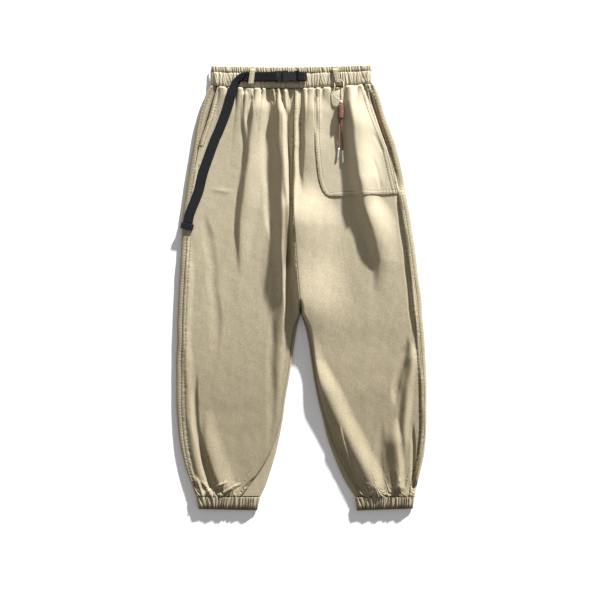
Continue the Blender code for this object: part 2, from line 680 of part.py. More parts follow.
# Buckle, female half: hollow body with side notches and a webbing bar
FEMALE_HALF = 4.4
female_outline = ((-39.0, Y - 11.2), (-37.6, Y - 12.0), (-6.2, Y - 12.0), (-5.0, Y - 10.8),
                  (-5.0, Y + 10.8), (-6.2, Y + 12.0), (-37.6, Y + 12.0), (-39.0, Y + 11.2))
buckle_female = prism("buckle_female", female_outline, BUCKLE_Z - FEMALE_HALF, BUCKLE_Z + FEMALE_HALF,
                      "plastic")
cut(buckle_female, prism("arm_hollow", box(-41.0, -14.6, Y - 9.7, Y + 9.7), BUCKLE_Z - 2.0, BUCKLE_Z + 2.0))
cut(buckle_female, prism("notch_low", box(-28.0, -15.0, Y - 14.0, Y - 9.0), BUCKLE_Z - 6, BUCKLE_Z + 6))
cut(buckle_female, prism("notch_high", box(-28.0, -15.0, Y + 9.0, Y + 14.0), BUCKLE_Z - 6, BUCKLE_Z + 6))
cut(buckle_female, prism("bar_above", box(-12.4, -3.0, Y - 10.5, Y + 10.5), BUCKLE_Z + 1.3, BUCKLE_Z + 6))
cut(buckle_female, prism("bar_below", box(-12.4, -3.0, Y - 10.5, Y + 10.5), BUCKLE_Z - 6, BUCKLE_Z - 1.3))
cut(buckle_female, prism("bar_slot", box(-12.4, -7.8, Y - 10.5, Y + 10.5), BUCKLE_Z - 3, BUCKLE_Z + 3))
for obj in (buckle_male, buckle_female):
    soft = obj.modifiers.new("edges", "BEVEL")
    soft.width = 0.0003
    soft.segments = 1
    soft.limit_method = "ANGLE"
    soft.angle_limit = math.radians(50)

# Anchor tab: webbing folded round the female half's bar and sewn to the band
ANCHOR_BAR_X = -6.4
ANCHOR_WRAP = 2.7
ANCHOR_HALF = 9.6
ANCHOR_END = 11.0
anchor = []
for x, z in ((ANCHOR_END, BUCKLE_Z - 2.0), (3.0, BUCKLE_Z - 2.2)):
    anchor.append((x, z))
for k in range(7):
    angle = -math.pi / 2 - math.pi * k / 6
    anchor.append((ANCHOR_BAR_X + ANCHOR_WRAP * math.cos(angle), BUCKLE_Z + ANCHOR_WRAP * math.sin(angle)))
for x, z in ((3.0, BUCKLE_Z + 1.0), (ANCHOR_END, BUCKLE_Z - 0.1)):
    anchor.append((x, z))
belt_anchor = strap_from("belt_anchor", [((x, Y - ANCHOR_HALF, z), (x, Y + ANCHOR_HALF, z))
                                         for x, z in anchor], "webbing")


def cord(name, points, diameter, slot):
    """A cord along a smooth line."""
    curve = bpy.data.curves.new(name, "CURVE")
    curve.dimensions = "3D"
    curve.bevel_depth = diameter / 2 * MM
    curve.bevel_resolution = 2
    curve.use_fill_caps = True
    spline = curve.splines.new("POLY")
    spline.points.add(len(points) - 1)
    for k, point in enumerate(points):
        spline.points[k].co = (point[0] * MM, point[1] * MM, point[2] * MM, 1.0)
    return dress(bpy.data.objects.new(name, curve), slot)


def smooth_line(points, steps):
    """Points along a smooth curve through the given ones."""
    result = []
    count = len(points)
    for k in range(count - 1):
        p0, p1 = Vector(points[max(k - 1, 0)]), Vector(points[k])
        p2, p3 = Vector(points[k + 1]), Vector(points[min(k + 2, count - 1)])
        for s in range(steps):
            t = s / steps
            result.append(0.5 * (2 * p1 + (p2 - p0) * t + (2 * p0 - 5 * p1 + 4 * p2 - p3) * t * t
                                 + (3 * p1 - p0 - 3 * p2 + p3) * t**3))
    result.append(Vector(points[-1]))
    return result


def round_bar(name, start, stop, radii, slot, sides=12):
    """A turned piece between two points; radii are taken at even steps."""
    start, stop = Vector(start), Vector(stop)
    along = (stop - start).normalized()
    side = along.cross(Vector((0, 0, 1))).normalized()
    up = side.cross(along)
    points = []
    for k, radius in enumerate(radii):
        centre = start + (stop - start) * k / (len(radii) - 1)
        for s in range(sides):
            angle = 2 * math.pi * s / sides
            points.append(centre + (side * math.cos(angle) + up * math.sin(angle)) * radius)
    faces = [tuple(range(sides)), tuple(reversed(range((len(radii) - 1) * sides, len(radii) * sides)))]
    for k in range(len(radii) - 1):
        for s in range(sides):
            a, b = k * sides + s, k * sides + (s + 1) % sides
            faces.append((a, a + sides, b + sides, b))
    return mesh_object(name, [tuple(p) for p in points], faces, slot)


# Charm: cream cord through the left loop, ring, wound knot, two cords with metal tips
charm_faces = leg_faces + [surface_of(belt_loop_left)]
knot_z = max(laid_height(charm_faces, 82.0, y, 7.0) for y in (388, 378, 368, 356)) + KNOT / 2 + 0.5
charm_ring = round_bar("charm_ring", (82.4, 394.4, knot_z), (82.1, 387.0, knot_z),
                       (2.4, 3.9, 3.9, 2.6), "cream_cord")
charm_knot = round_bar("charm_knot", (82.1, 386.5, knot_z), (81.6, 354.5, knot_z),
                       [KNOT / 2 * share for share in (0.6, 0.9, 1, 1, 1, 0.9, 0.6)], "brown_cord", 14)
loop_z = laid_height([band_face], 77.0, 433.0, 6.0) + CREAM_CORD / 2 + 0.5
face_z = laid_height(charm_faces, 76.0, 408.0, 12.0) + CREAM_CORD / 2 + 0.6
charm_loop = cord("charm_loop", smooth_line((
    (80.6, 395.6, knot_z), (72.6, 399.0, max(knot_z - 1, face_z)), (66.6, 408.4, face_z),
    (69.6, 424.0, face_z + 1.0), (69.6, 433.6, loop_z + 0.3), (78.2, 438.4, loop_z),
    (87.0, 433.6, loop_z + 0.3), (88.4, 422.0, face_z + 1.0), (87.0, 408.0, face_z),
    (84.2, 395.6, knot_z)), 5), CREAM_CORD, "cream_cord")


def charm_strand(letter, places, tip_places):
    """One brown cord and its metal tip, lying on the pocket."""
    points = []
    for x, y in places:
        points.append([x, y, laid_height(charm_faces, x, y, 3.0) + BROWN_CORD / 2 + 0.6])
    points[0][2] = max(points[0][2], knot_z - 1.5)
    tip_z = max(laid_height(charm_faces, x, y, 3.0) for x, y in tip_places) + TIP / 2 + 0.6
    points[-1][2] = tip_z
    for turn in range(12):
        for k in range(1, len(points) - 1):
            points[k][2] = max(points[k][2], (points[k - 1][2] + points[k + 1][2]) / 2)
    cord("charm_cord_" + letter, smooth_line(points, 4), BROWN_CORD, "brown_cord")
    (x0, y0), (x1, y1) = tip_places
    round_bar("charm_tip_" + letter, (x0, y0, tip_z), (x1, y1, tip_z),
              (TIP / 2 - 0.3, TIP / 2, TIP / 2, TIP / 2 - 0.3), "metal", 10)


charm_strand("a", ((83.6, 353.6), (83.8, 343.0), (84.4, 331.0), (85.4, 313.0), (86.0, 290.6)),
             ((86.2, 290.0), (87.2, 264.0)))
charm_strand("b", ((79.4, 353.6), (78.6, 343.0), (78.4, 331.0), (78.0, 313.0), (78.4, 295.4)),
             ((78.4, 294.8), (76.0, 272.8)))
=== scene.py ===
import math

import bmesh
import bpy
import numpy as np
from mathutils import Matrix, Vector
from mathutils.bvhtree import BVHTree


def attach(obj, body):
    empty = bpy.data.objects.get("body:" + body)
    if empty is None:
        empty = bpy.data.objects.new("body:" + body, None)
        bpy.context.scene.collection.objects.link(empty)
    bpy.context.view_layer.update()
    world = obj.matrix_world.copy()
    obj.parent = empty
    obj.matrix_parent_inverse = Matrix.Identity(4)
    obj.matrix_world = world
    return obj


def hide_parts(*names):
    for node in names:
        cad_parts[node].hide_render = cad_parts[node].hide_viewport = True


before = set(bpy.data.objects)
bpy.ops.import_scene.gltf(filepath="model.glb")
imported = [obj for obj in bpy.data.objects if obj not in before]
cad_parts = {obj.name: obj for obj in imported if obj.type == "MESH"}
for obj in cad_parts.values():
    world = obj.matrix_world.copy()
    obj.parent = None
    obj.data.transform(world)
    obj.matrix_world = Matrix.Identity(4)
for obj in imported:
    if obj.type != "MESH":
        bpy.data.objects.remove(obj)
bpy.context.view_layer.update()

mm = 0.001

# The table top, the light and the camera
# The trousers lie on a pale table under one low lamp beyond the waist, a little to the left leg's
# side, with soft light from all round. The camera looks straight down on them.
LAMP_TURN = math.radians(64)
LAMP_HEIGHT = math.radians(16.5)
LAMP_SPREAD = math.radians(3.0)
LAMP_POWER = 12.8
LAMP_COLOUR = (0.94, 0.965, 1.0)
SKY_POWER = 0.38
SKY_COLOUR = (1.0, 0.99, 0.97, 1)
VIEW_CENTRE = Vector((-3.15 * mm, -23.6 * mm, 10 * mm))
VIEW_WIDTH = 1.26
LENS = 85
SENSOR = 36
TABLE_SIZE = 120
TABLE_DROP = 0.4 * mm


def surface(name, **settings):
    """A material, its nodes and its shader, with plain settings on the shader's sockets."""
    made = bpy.data.materials.new(name)
    made.use_nodes = True
    shader = made.node_tree.nodes["Principled BSDF"]
    for key, value in settings.items():
        shader.inputs[key.replace("_", " ")].default_value = value
    return made, made.node_tree, shader


def show(name, data):
    """Put a thing into the scene."""
    thing = bpy.data.objects.new(name, data)
    bpy.context.collection.objects.link(thing)
    return thing


camera = show("camera", bpy.data.cameras.new("camera"))
camera.data.lens = LENS
camera.data.sensor_width = SENSOR
camera.data.clip_end = 200
camera.location = VIEW_CENTRE + Vector((0, 0, VIEW_WIDTH * LENS / SENSOR))
bpy.context.scene.camera = camera
bpy.context.scene.view_settings.view_transform = "Standard"

lamp = show("lamp", bpy.data.lights.new("lamp", "SUN"))
lamp.data.energy = LAMP_POWER
lamp.data.angle = LAMP_SPREAD
lamp.data.color = LAMP_COLOUR
toward_lamp = Vector((math.cos(LAMP_TURN) * math.cos(LAMP_HEIGHT),
                      math.sin(LAMP_TURN) * math.cos(LAMP_HEIGHT), math.sin(LAMP_HEIGHT)))
lamp.rotation_euler = toward_lamp.to_track_quat("Z", "Y").to_euler()

sky = bpy.data.worlds.new("soft light")
sky.use_nodes = True
sky.node_tree.nodes["Background"].inputs["Color"].default_value = SKY_COLOUR
sky.node_tree.nodes["Background"].inputs["Strength"].default_value = SKY_POWER
bpy.context.scene.world = sky

bpy.ops.mesh.primitive_plane_add(size=TABLE_SIZE, location=(0, 0, -TABLE_DROP))
table_top = bpy.context.object
table_top.name = "table_top"
paint = surface("pale table", Base_Color=(0.93, 0.93, 0.94, 1), Roughness=0.9, Specular_IOR_Level=0.1)[0]
table_top.data.materials.append(paint)


# Twill cloth
# Washed cotton twill, about 1 mm thick: a fine slanting weave, a soft matt nap, and patches
# that have faded unevenly in the wash. It is painted paler where worn and with painted light, and painted
# with shade in creases, grooves and hollows.
TWILL_COLOUR = (0.372, 0.314, 0.212, 1)
TWILL_DARK = (0.305, 0.254, 0.164, 1)
# Paler colour, for wear and for painted light
TWILL_WORN_AND_LIT = (0.520, 0.455, 0.325, 1)
# Colour of the painted shade in creases, grooves and hollows
TWILL_PAINTED_SHADE = (0.110, 0.082, 0.038, 1)
TWILL_WALL = 1.0


def add(tree, kind, *inputs, **settings):
    """A node with its settings. Inputs in order and capitalised names are sockets, which take a
    value or another node's output."""
    node = tree.nodes.new("ShaderNode" + kind)
    sockets = list(enumerate(inputs))
    for key, value in settings.items():
        if key[0].isupper():
            sockets.append((key.replace("_", " "), value))
        else:
            setattr(node, key, value)
    for socket, value in sockets:
        if isinstance(value, bpy.types.NodeSocket):
            tree.links.new(value, node.inputs[socket])
        else:
            node.inputs[socket].default_value = value
    return node


def lay_bumps(tree, shader, *layers):
    """Bumps one over another; each is a pattern's output, a strength and a depth in metres."""
    normal = None
    for pattern, strength, depth in layers:
        bump = add(tree, "Bump", Height=pattern, Strength=strength, Distance=depth)
        if normal:
            tree.links.new(normal, bump.inputs["Normal"])
        normal = bump.outputs["Normal"]
    tree.links.new(normal, shader.inputs["Normal"])


def twill_cloth(name, slant=45.0, dark=TWILL_DARK, colour=TWILL_COLOUR):
    """Material of one twill piece; slant is the weave's angle on it."""
    cloth, tree, shader = surface(name, Roughness=0.92, Specular_IOR_Level=0.18, Sheen_Weight=0.12,
                                  Sheen_Roughness=0.5)
    place = add(tree, "TexCoord").outputs["Object"]
    turned = add(tree, "Mapping", Vector=place, Rotation=(0, 0, math.radians(slant)))
    weave = add(tree, "TexWave", Vector=turned.outputs["Vector"], Scale=520.0, Distortion=0.6, Detail=1.0,
                Detail_Scale=2.0)
    drawn = add(tree, "Mapping", Vector=place, Scale=(1.7, 0.45, 1.0))
    fade = add(tree, "TexNoise", Vector=drawn.outputs["Vector"], Scale=34.0, Detail=8.0, Roughness=0.74)
    slub = add(tree, "TexNoise", Vector=place, Scale=260.0, Detail=3.0, Roughness=0.7)
    patches = add(tree, "Math", slub.outputs["Fac"], 0.6, fade.outputs["Fac"], operation="MULTIPLY_ADD")
    spread = add(tree, "MapRange", Value=patches.outputs["Value"], From_Min=0.60, From_Max=0.92)
    mottle = add(tree, "Mix", data_type="RGBA", Factor=spread.outputs["Result"], A=dark, B=colour)
    grain = add(tree, "TexNoise", Vector=place, Scale=520.0, Detail=2.0)
    grain_range = add(tree, "MapRange", Value=grain.outputs["Fac"], From_Min=0.25, From_Max=0.75,
                      To_Min=0.80, To_Max=1.20)
    grained = add(tree, "VectorMath", mottle.outputs["Result"], operation="SCALE",
                  Scale=grain_range.outputs["Result"])
    # The attribute paints the cloth: above 0 paler, for wear and painted light; below 0 darker, with painted
    # shade
    wear_and_shading = add(tree, "Attribute", attribute_name="wear_and_shading").outputs["Fac"]
    worn_and_lit = add(tree, "Mix", data_type="RGBA", Factor=wear_and_shading, A=grained.outputs["Vector"], B=TWILL_WORN_AND_LIT)
    depth = add(tree, "Math", wear_and_shading, -1.0, operation="MULTIPLY")
    painted_crease_shade = add(tree, "Mix", data_type="RGBA", Factor=depth.outputs["Value"], A=worn_and_lit.outputs["Result"],
                  B=TWILL_PAINTED_SHADE)
    tree.links.new(painted_crease_shade.outputs["Result"], shader.inputs["Base Color"])
    lay_bumps(tree, shader, (weave.outputs["Fac"], 0.25, 0.0002), (slub.outputs["Fac"], 0.35, 0.0003))
    return cloth


# Front leg panels
# Two wide legs cut from twill, gathered into the waistband and the cuffs and joined at the front
# rise. They lie in loose folds: most fall from the waist, a few start at the knee and the ankle.
CROTCH_Y = -50.9
CROTCH_BLEND = 30.0
BODY_HEIGHT = 10.0
LOWEST_FRONT = 4.4
SOFT_FLOOR = 2.0
INSEAM_HEIGHT = 6.0
INSEAM_ROLL = 8.0
SEAM = 0.3
WAIST_Y = 421.6
LEVEL_Y = 374.0
ANKLE_Y = -437.3
BAND_BOTTOM = ((-190.0, 426.8), (-3.0, 421.6), (148.0, 431.2))

# Height of the row, then x of: right outer edge, side seam, pocket slit, inseam, inner edge,
# left inner edge, inseam, side seam, outer edge
OUTLINE = (
    (421.6, -191.5, -185.8, -175.8, -13.7, -13.7, -13.7, -13.7, 146.0, 151.6),
    (396.4, -204.8, -198.5, -183.8, -13.7, -13.7, -13.7, -13.7, 155.4, 164.8),
    (354.4, -217.4, -211.1, -196.3, -14.7, -14.7, -14.7, -14.7, 169.1, 179.6),
    (301.9, -226.8, -218.4, -214.2, -15.8, -15.8, -15.8, -15.8, 186.9, 198.5),
    (249.4, -236.2, -224.7, -224.7, -17.9, -17.9, -17.9, -17.9, 200.6, 211.1),
    (196.9, -243.6, -233.1, -233.1, -18.9, -18.9, -18.9, -18.9, 210.0, 220.5),
    (144.4, -251.0, -239.4, -239.4, -15.8, -15.8, -15.8, -15.8, 219.5, 230.0),
    (81.4, -253.1, -242.6, -242.6, -11.6, -11.6, -11.6, -11.6, 228.9, 239.4),
    (18.4, -257.2, -246.8, -246.8, -6.3, -6.3, -6.3, -6.3, 237.3, 246.8),
    (-23.6, -259.4, -248.9, -248.9, -3.2, -3.2, -3.2, -3.2, 242.6, 253.1),
    (-50.9, -260.4, -249.9, -249.9, -2.1, -2.1, -2.1, -2.1, 244.7, 254.1),
    (-76.1, -261.4, -251.0, -251.0, -12.6, -8.4, 6.3, 10.5, 246.8, 256.2),
    (-107.6, -261.4, -251.0, -251.0, -18.9, -13.7, 13.7, 17.9, 249.9, 259.4),
    (-149.6, -263.6, -253.1, -253.1, -25.2, -19.9, 19.9, 24.2, 253.1, 261.4),
    (-191.6, -263.6, -253.1, -253.1, -31.5, -26.2, 26.2, 30.5, 256.2, 263.6),
    (-233.6, -263.6, -253.1, -253.1, -38.9, -33.6, 34.6, 38.9, 257.2, 263.6),
    (-275.6, -261.4, -251.0, -251.0, -44.1, -38.9, 45.1, 50.4, 257.2, 263.6),
    (-317.6, -257.2, -247.8, -247.8, -55.7, -47.2, 55.7, 63.0, 256.2, 261.4),
    (-349.1, -251.0, -242.6, -242.6, -67.2, -54.6, 67.2, 76.7, 252.0, 258.3),
    (-380.6, -242.6, -235.2, -235.2, -85.0, -64.0, 79.8, 93.5, 245.7, 251.0),
    (-412.1, -231.0, -225.8, -225.8, -108.2, -74.5, 95.5, 111.3, 238.4, 243.6),
    (-437.3, -221.6, -217.4, -217.4, -129.2, -86.1, 112.4, 127.1, 233.1, 238.4),
)
EDGES = ("y", "right_outer", "right_seam", "right_slit", "right_inseam", "right_inner",
         "left_inner", "left_inseam", "left_seam", "left_outer")

# Folds: name, start x y, middle x y, end x y, rise, left width, right width, fade in, fade out
FOLDS = (
    ("hip ridge", -94, 398, -108, 291, -129, 102, 12, 17, 40, 26, 90),
    ("hip pleat", -120, 413, -119, 371, -117, 323, 5, 9, 9, 8, 30),
    ("lap hollow", -72, 413, -74, 270, -64, 120, -4, 14, 16, 20, 30),
    ("lap ridge", -46, 396, -33, 190, -37, 10, 15.5, 28, 11, 28, 80),
    ("lap shoulder", -42, 196, -42, 130, -42, 76, 7, 38, 12, 50, 50),
    ("lap pleat", -33, 417, -32, 392, -30, 371, 5, 7, 6, 4, 14),
    ("fly hollow", -28, 386, -26, 270, -21, 176, -4, 6, 5, 20, 20),
    ("fly ridge", -13, 400, -14, 291, -17, 165, 8, 9, 9, 22, 50),
    ("rise tongue", -38, 116, -40, 30, -38, -50, 10, 50, 9, 90, 80),
    ("rise edge", -14, 190, -10, 60, 8, -110, 25, 22, 112, 60, 90),
    ("inner ridge", -38, -10, -42, -100, -48, -190, 4.5, 26, 14, 60, 60),
    ("thigh crest", 10, 396, 8, 340, 6, 250, 10, 12, 60, 28, 70),
    ("shin crest", 22, -150, 83, -280, 158, -431, 13, 36, 38, 70, 20),
    ("shin crease upper", 83, -292, 91, -334, 106, -376, 3, 4, 4, 12, 12),
    ("shin crease lower", 79, -343, 102, -393, 127, -435, 4, 5, 4, 12, 6),
    ("pocket fold", 103, 392, 115, 312, 128, 193, 22, 28, 54, 60, 44),
    ("charm swell", 74, 415, 76, 380, 78, 345, 2.6, 24, 18, 14, 20),
    ("thigh fold", 129, 196, 150, 123, 166, 58, 18, 30, 56, 46, 84),
    ("outseam ridge", 208, 207, 226, 71, 243, -97, 5, 8, 12, 30, 60),
    ("outseam hollow", 203, 197, 217, 81, 234, -76, -2.4, 7, 5, 20, 40),
    ("opening hollow", 142, 404, 177, 312, 205, 205, -6.5, 5, 10, 12, 16),
    ("opening crease", 125, 426, 136, 403, 144, 382, -3, 4, 4, 3, 8),
    ("pocket crease a", 152, 270, 161, 237, 166, 210, -1.3, 6, 8, 12, 12),
    ("pocket crease b", 150, 327, 160, 306, 170, 286, -1.0, 6, 7, 10, 10),
    ("knee crease", 220, -118, 205, -181, 198, -229, -5, 14, 12, 20, 20),
    ("calf ridge", 232, -129, 222, -234, 213, -339, 8, 16, 14, 20, 30),
    ("ankle ridge", 200, -297, 202, -370, 205, -423, 11, 28, 14, 30, 8),
    ("ankle hollow", 168, -300, 166, -360, 170, -427, -3, 16, 14, 30, 8),
    ("ankle groove", 234, -297, 236, -360, 234, -423, -5, 7, 6, 24, 8),
    ("side ridge", 253, -171, 253, -297, 243, -412, 4, 8, 6, 30, 12),
    ("outer ridge", -238, -202, -232, -307, -207, -412, 3.2, 12, 18, 40, 12),
    ("outer groove", -222, -202, -215, -328, -186, -425, -5, 10, 10, 40, 8),
    ("shin swell", -198, -297, -186, -370, -163, -423, 7, 19, 38, 50, 12),
    ("thigh side ridge", -238, 81, -243, -66, -240, -202, 3, 12, 16, 40, 40),
    ("thigh dimple", -180, -24, -178, -70, -178, -118, -2.6, 24, 14, 34, 40),
    ("thigh hollow", -203, 134, -188, 56, -184, -13, -2, 18, 16, 30, 30),
    ("lap crease", -104, 404, -107, 380, -109, 352, -3.4, 4, 7, 8, 14),
    ("fly crease", -62, 416, -60, 404, -58, 392, -3.0, 5, 4, 4, 8),
    ("side crease", 27, 400, 30, 366, 33, 330, -2.6, 5, 8, 10, 24),
    ("pocket crease c", 60, 410, 50, 388, 42, 362, -1.6, 6, 6, 6, 10),
    ("heel fold a", -224, -396, -216, -414, -208, -436, 4.5, 7, 8, 7, 6),
    ("heel fold b", -206, -406, -198, -418, -190, -438, 4.0, 7, 8, 6, 6),
    ("ankle crinkle a", -158, -405, -177, -415, -196, -426, 2.6, 9, 12, 4, 4),
    ("ankle crinkle b", -132, -410, -151, -421, -172, -434, 2.4, 9, 14, 4, 4),
    ("ankle crinkle c", -98, -398, -116, -416, -134, -436, -2.4, 8, 8, 6, 6),
    ("ankle dent", 189, -384, 190, -402, 192, -420, -3.4, 8, 9, 6, 8),
    ("ankle crinkle d", 204, -398, 198, -414, 190, -434, 2.6, 6, 8, 6, 6),
    ("knee hollow", -60, -87, -60, -171, -66, -297, -2, 16, 12, 40, 60),
)

# Creases that run across a leg: x from, x to, y, rise, half width
CROSS_CREASES = (
    (-184, -150, 207, 1.0, 3.4), (-207, -90, -262, -0.5, 18), (-150, -80, -306, -0.4, 20),
    (60, 200, -120, -1.0, 30), (90, 190, -215, 0.8, 24),
)


def ease(t):
    """Soft step from 0 to 1."""
    t = np.clip(t, 0.0, 1.0)
    return t * t * (3 - 2 * t)


def edge(name, y):
    """x of a named edge at a height; the inner edges turn sharply at the crotch."""
    column = EDGES.index(name)
    y = np.asarray(y, float)
    inner = "inseam" in name or "inner" in name
    hips = [row for row in OUTLINE if row[0] >= CROTCH_Y] if inner else OUTLINE
    legs = [row for row in OUTLINE if row[0] <= CROTCH_Y] if inner else OUTLINE
    return np.where(y >= CROTCH_Y, smooth_column(hips, column, y), smooth_column(legs, column, y))


def smooth_column(rows, column, y):
    """One column of the outline as a smooth curve of height."""
    heights = np.array([row[0] for row in rows][::-1])
    values = np.array([row[column] for row in rows][::-1])
    lean = np.empty(len(heights))
    lean[1:-1] = (values[2:] - values[:-2]) / (heights[2:] - heights[:-2])
    lean[0] = (values[1] - values[0]) / (heights[1] - heights[0])
    lean[-1] = (values[-1] - values[-2]) / (heights[-1] - heights[-2])
    y = np.clip(y, heights[0], heights[-1])
    k = np.clip(np.searchsorted(heights, y, side="right") - 1, 0, len(heights) - 2)
    span = heights[k + 1] - heights[k]
    t = (y - heights[k]) / span
    return ((2 * t**3 - 3 * t**2 + 1) * values[k] + (t**3 - 2 * t**2 + t) * lean[k] * span
            + (3 * t**2 - 2 * t**3) * values[k + 1] + (t**3 - t**2) * lean[k + 1] * span)


def through(points, x):
    """Smooth curve through three points."""
    (x0, y0), (x1, y1), (x2, y2) = points
    return (y0 * (x - x1) * (x - x2) / ((x0 - x1) * (x0 - x2))
            + y1 * (x - x0) * (x - x2) / ((x1 - x0) * (x1 - x2))
            + y2 * (x - x0) * (x - x1) / ((x2 - x0) * (x2 - x1)))


def fold_rise(x, y):
    """Sum of the folds at each place; their crests wander a little, as cloth does."""
    total = np.zeros(np.broadcast(x, y).shape)
    for k, (name, x0, y0, x1, y1, x2, y2, rise, left, right, fade_in, fade_out) in enumerate(FOLDS):
        along = np.clip(y, y2, y0)
        crest = through(((y0, x0), (y1, x1), (y2, x2)), along)
        crest = crest + 1.3 * np.sin(y / 33.0 + k) + 0.5 * np.sin(y / 13.0 + 2.1 * k)
        run = ease((y0 + fade_in - y) / (2 * fade_in)) * ease((y - y2 + fade_out) / (2 * fade_out))
        side = np.clip((x - crest) / (np.where(x > crest, right, left) * (0.45 + 0.55 * run)), -1, 1)
        height = rise * (1 + 0.10 * np.sin(y / 29.0 + 1.7 * k))
        total += height * np.cos(side * math.pi / 2) ** 2 * run
    for x0, x1, level, rise, half in CROSS_CREASES:
        wander = level + 3 * np.sin(x / 19.0)
        over = ease((x - x0 + 20) / 40) * ease((x1 + 20 - x) / 40)
        total += rise * over * np.exp(-((y - wander) / half) ** 2)
    return total


def inseam_curl(y):
    """0 where the two fronts are joined, 1 where the leg's inner edge rolls down."""
    return ease((CROTCH_Y + CROTCH_BLEND - y) / CROTCH_BLEND)


def front_height(x, y):
    """Height of the front cloth's outer face, before gathers and sewing."""
    raised = BODY_HEIGHT + fold_rise(x, y)
    floor = LOWEST_FRONT + SOFT_FLOOR
    height = np.where(raised > floor, raised,
                      LOWEST_FRONT + SOFT_FLOOR * np.exp((np.minimum(raised, floor) - floor) / SOFT_FLOOR))
    inner = np.where(x < 0, edge("right_inseam", y) - x, x - edge("left_inseam", y))
    t = np.clip(inner / INSEAM_ROLL, 0, 1)
    rolled = INSEAM_HEIGHT + (height - INSEAM_HEIGHT) * np.sqrt(1 - (1 - t) ** 2)
    return height + inseam_curl(y) * (np.minimum(rolled, height) - height)


def crumple(x, y):
    """Small soft creases of washed cloth, under half a millimetre."""
    return (0.12 * np.sin(x / 9.0 + 1.8 * np.sin(y / 31.0)) * np.sin(y / 41.0 + x / 60.0)
            + 0.06 * np.sin(y / 8.0 + 2.2 * np.sin(x / 23.0)) * np.sin(x / 29.0 + y / 53.0)
            + 0.04 * np.sin((x + y) / 5.1 + 1.5 * np.sin((x - y) / 17.0)))


def bend_row(x, y):
    """Row height moved so that the top row follows the waistband's lower edge."""
    return y + ease((y - LEVEL_Y) / (WAIST_Y - LEVEL_Y)) * (through(BAND_BOTTOM, x) - SEAM - WAIST_Y)


def from_line(points, x, y):
    """Distance of each place from a sewn line, and how far along the line it is."""
    nearest = np.full(np.broadcast(x, y).shape, 1e9)
    along = np.zeros_like(nearest)
    run = 0.0
    for (ax, ay), (bx, by) in zip(points[:-1], points[1:]):
        length = math.hypot(bx - ax, by - ay)
        ux, uy = (bx - ax) / length, (by - ay) / length
        s = np.clip((x - ax) * ux + (y - ay) * uy, 0, length)
        d = np.hypot(x - ax - s * ux, y - ay - s * uy)
        closer = d < nearest
        nearest = np.where(closer, d, nearest)
        along = np.where(closer, run + s, along)
        run += length
    return nearest, along


def sewn_relief(lines, x, y):
    """Groove under each line of stitches and the cloth's puckers beside it; the puckers are worn paler, and
    the groove gets painted shade.
    """
    relief = np.zeros(np.broadcast(x, y).shape)
    wear_and_shading = np.zeros_like(relief)
    for k, points in enumerate(lines):
        d, s = from_line(points, x, y)
        beside = np.exp(-(d / 3.4) ** 2)
        pucker = np.sin(s / 0.8 + 2.3 * np.sin(s / 7.0 + k)) * (0.6 + 0.4 * np.sin(s / 19.0 + 2 * k))
        relief += -0.55 * np.exp(-(d / 1.0) ** 2) + 0.24 * beside * pucker
        # Paler wear on the puckers, and painted shade down the groove
        wear_and_shading += beside * (0.22 + 0.50 * pucker) - 0.75 * np.exp(-(d / 1.1) ** 2)
    return relief, np.clip(wear_and_shading, -0.8, 0.8)


def edge_line(name, offset, y_from, y_to, step=14.0):
    """A sewn line that keeps its distance from a named edge."""
    heights = np.arange(y_from, y_to, -step)
    heights = np.append(heights, y_to)
    return [(float(edge(name, h)) + offset, float(h)) for h in heights]


def mesh_piece(name, points, faces, material, smooth=True):
    """A piece from its points, in metres, and its faces."""
    mesh = bpy.data.meshes.new(name)
    mesh.from_pydata(points, [], faces)
    mesh.polygons.foreach_set("use_smooth", [smooth] * len(mesh.polygons))
    mesh.materials.append(material)
    return show(name, mesh)


def grid_piece(name, x, y, z, material, wall=TWILL_WALL, flip=False, wear_and_shading=None, offset=-1.0):
    """A cloth piece from a grid of places in millimetres; the first row is the top edge."""
    tall, wide = x.shape
    points = np.stack((x, y, z), axis=-1).reshape(-1, 3) * mm
    index = np.arange(tall * wide).reshape(tall, wide)
    faces = np.stack((index[:-1, :-1], index[1:, :-1], index[1:, 1:], index[:-1, 1:]), axis=-1)
    faces = faces.reshape(-1, 4)[:, ::-1 if flip else 1]
    piece = mesh_piece(name, points.tolist(), faces.tolist(), material)
    if wear_and_shading is not None:
        layer = piece.data.attributes.new("wear_and_shading", "FLOAT", "POINT")
        layer.data.foreach_set("value", wear_and_shading.reshape(-1).astype(np.float32))
    solid = piece.modifiers.new("wall", "SOLIDIFY")
    solid.thickness = wall * mm
    solid.offset = offset
    return piece


def belongs(piece, slot, *nodes):
    """The piece rides on the garment and stands for its CAD solids."""
    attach(piece, "root")
    if nodes:
        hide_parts(*nodes)
    return piece


def cut(piece, held, width, length, area, *rests_on):
    """Take how a cloth piece lies and the size it was cut to, in metres and square metres, and hand the piece
    back unchanged; none of these is used.
    """
    return piece


PANEL_COLUMNS = 128
FINE_ROW = 1.1
WIDE_ROW = 3.2
ANKLE_GATHERS = 9
ANKLE_RISE = 6.0
ANKLE_LAP = 2.6
FELL_WIDTH = 8.6
FELL_RISE = 0.9
# Strength of the painted shading down the legs
LEG_SHADING = 0.58
# Painted shadow along the lap fold's crest, where the fold beside it casts too short a shadow: x, half width,
# upper and lower end
LAP_PAINTED_SHADOW = (-31.5, 8.5, 190.0, 30.0)
# Mouth of the right pocket: its lift off the facing, and its lower end
MOUTH_LIFT = 2.6
MOUTH_LOW = 262.0
# Slanted opening of the patch pocket on the left front
POCKET_OPENING = [(131.0, 422.0), (156.0, 357.0), (179.5, 295.5), (192.0, 240.0), (203.5, 190.0)]
FLY_WIDTH = 15.5
FLY_END = 292.0
# Rows of stitches: their distance from a seam, from the pocket's mouth and from the fly's edges,
# and the upper and lower end of the long ones
SEAM_ROWS = (2.0, 8.0)
MOUTH_ROWS = (2.2, 8.6)
FLY_ROW = 2.4
ROW_TOP = 421
ROW_FOOT = -436

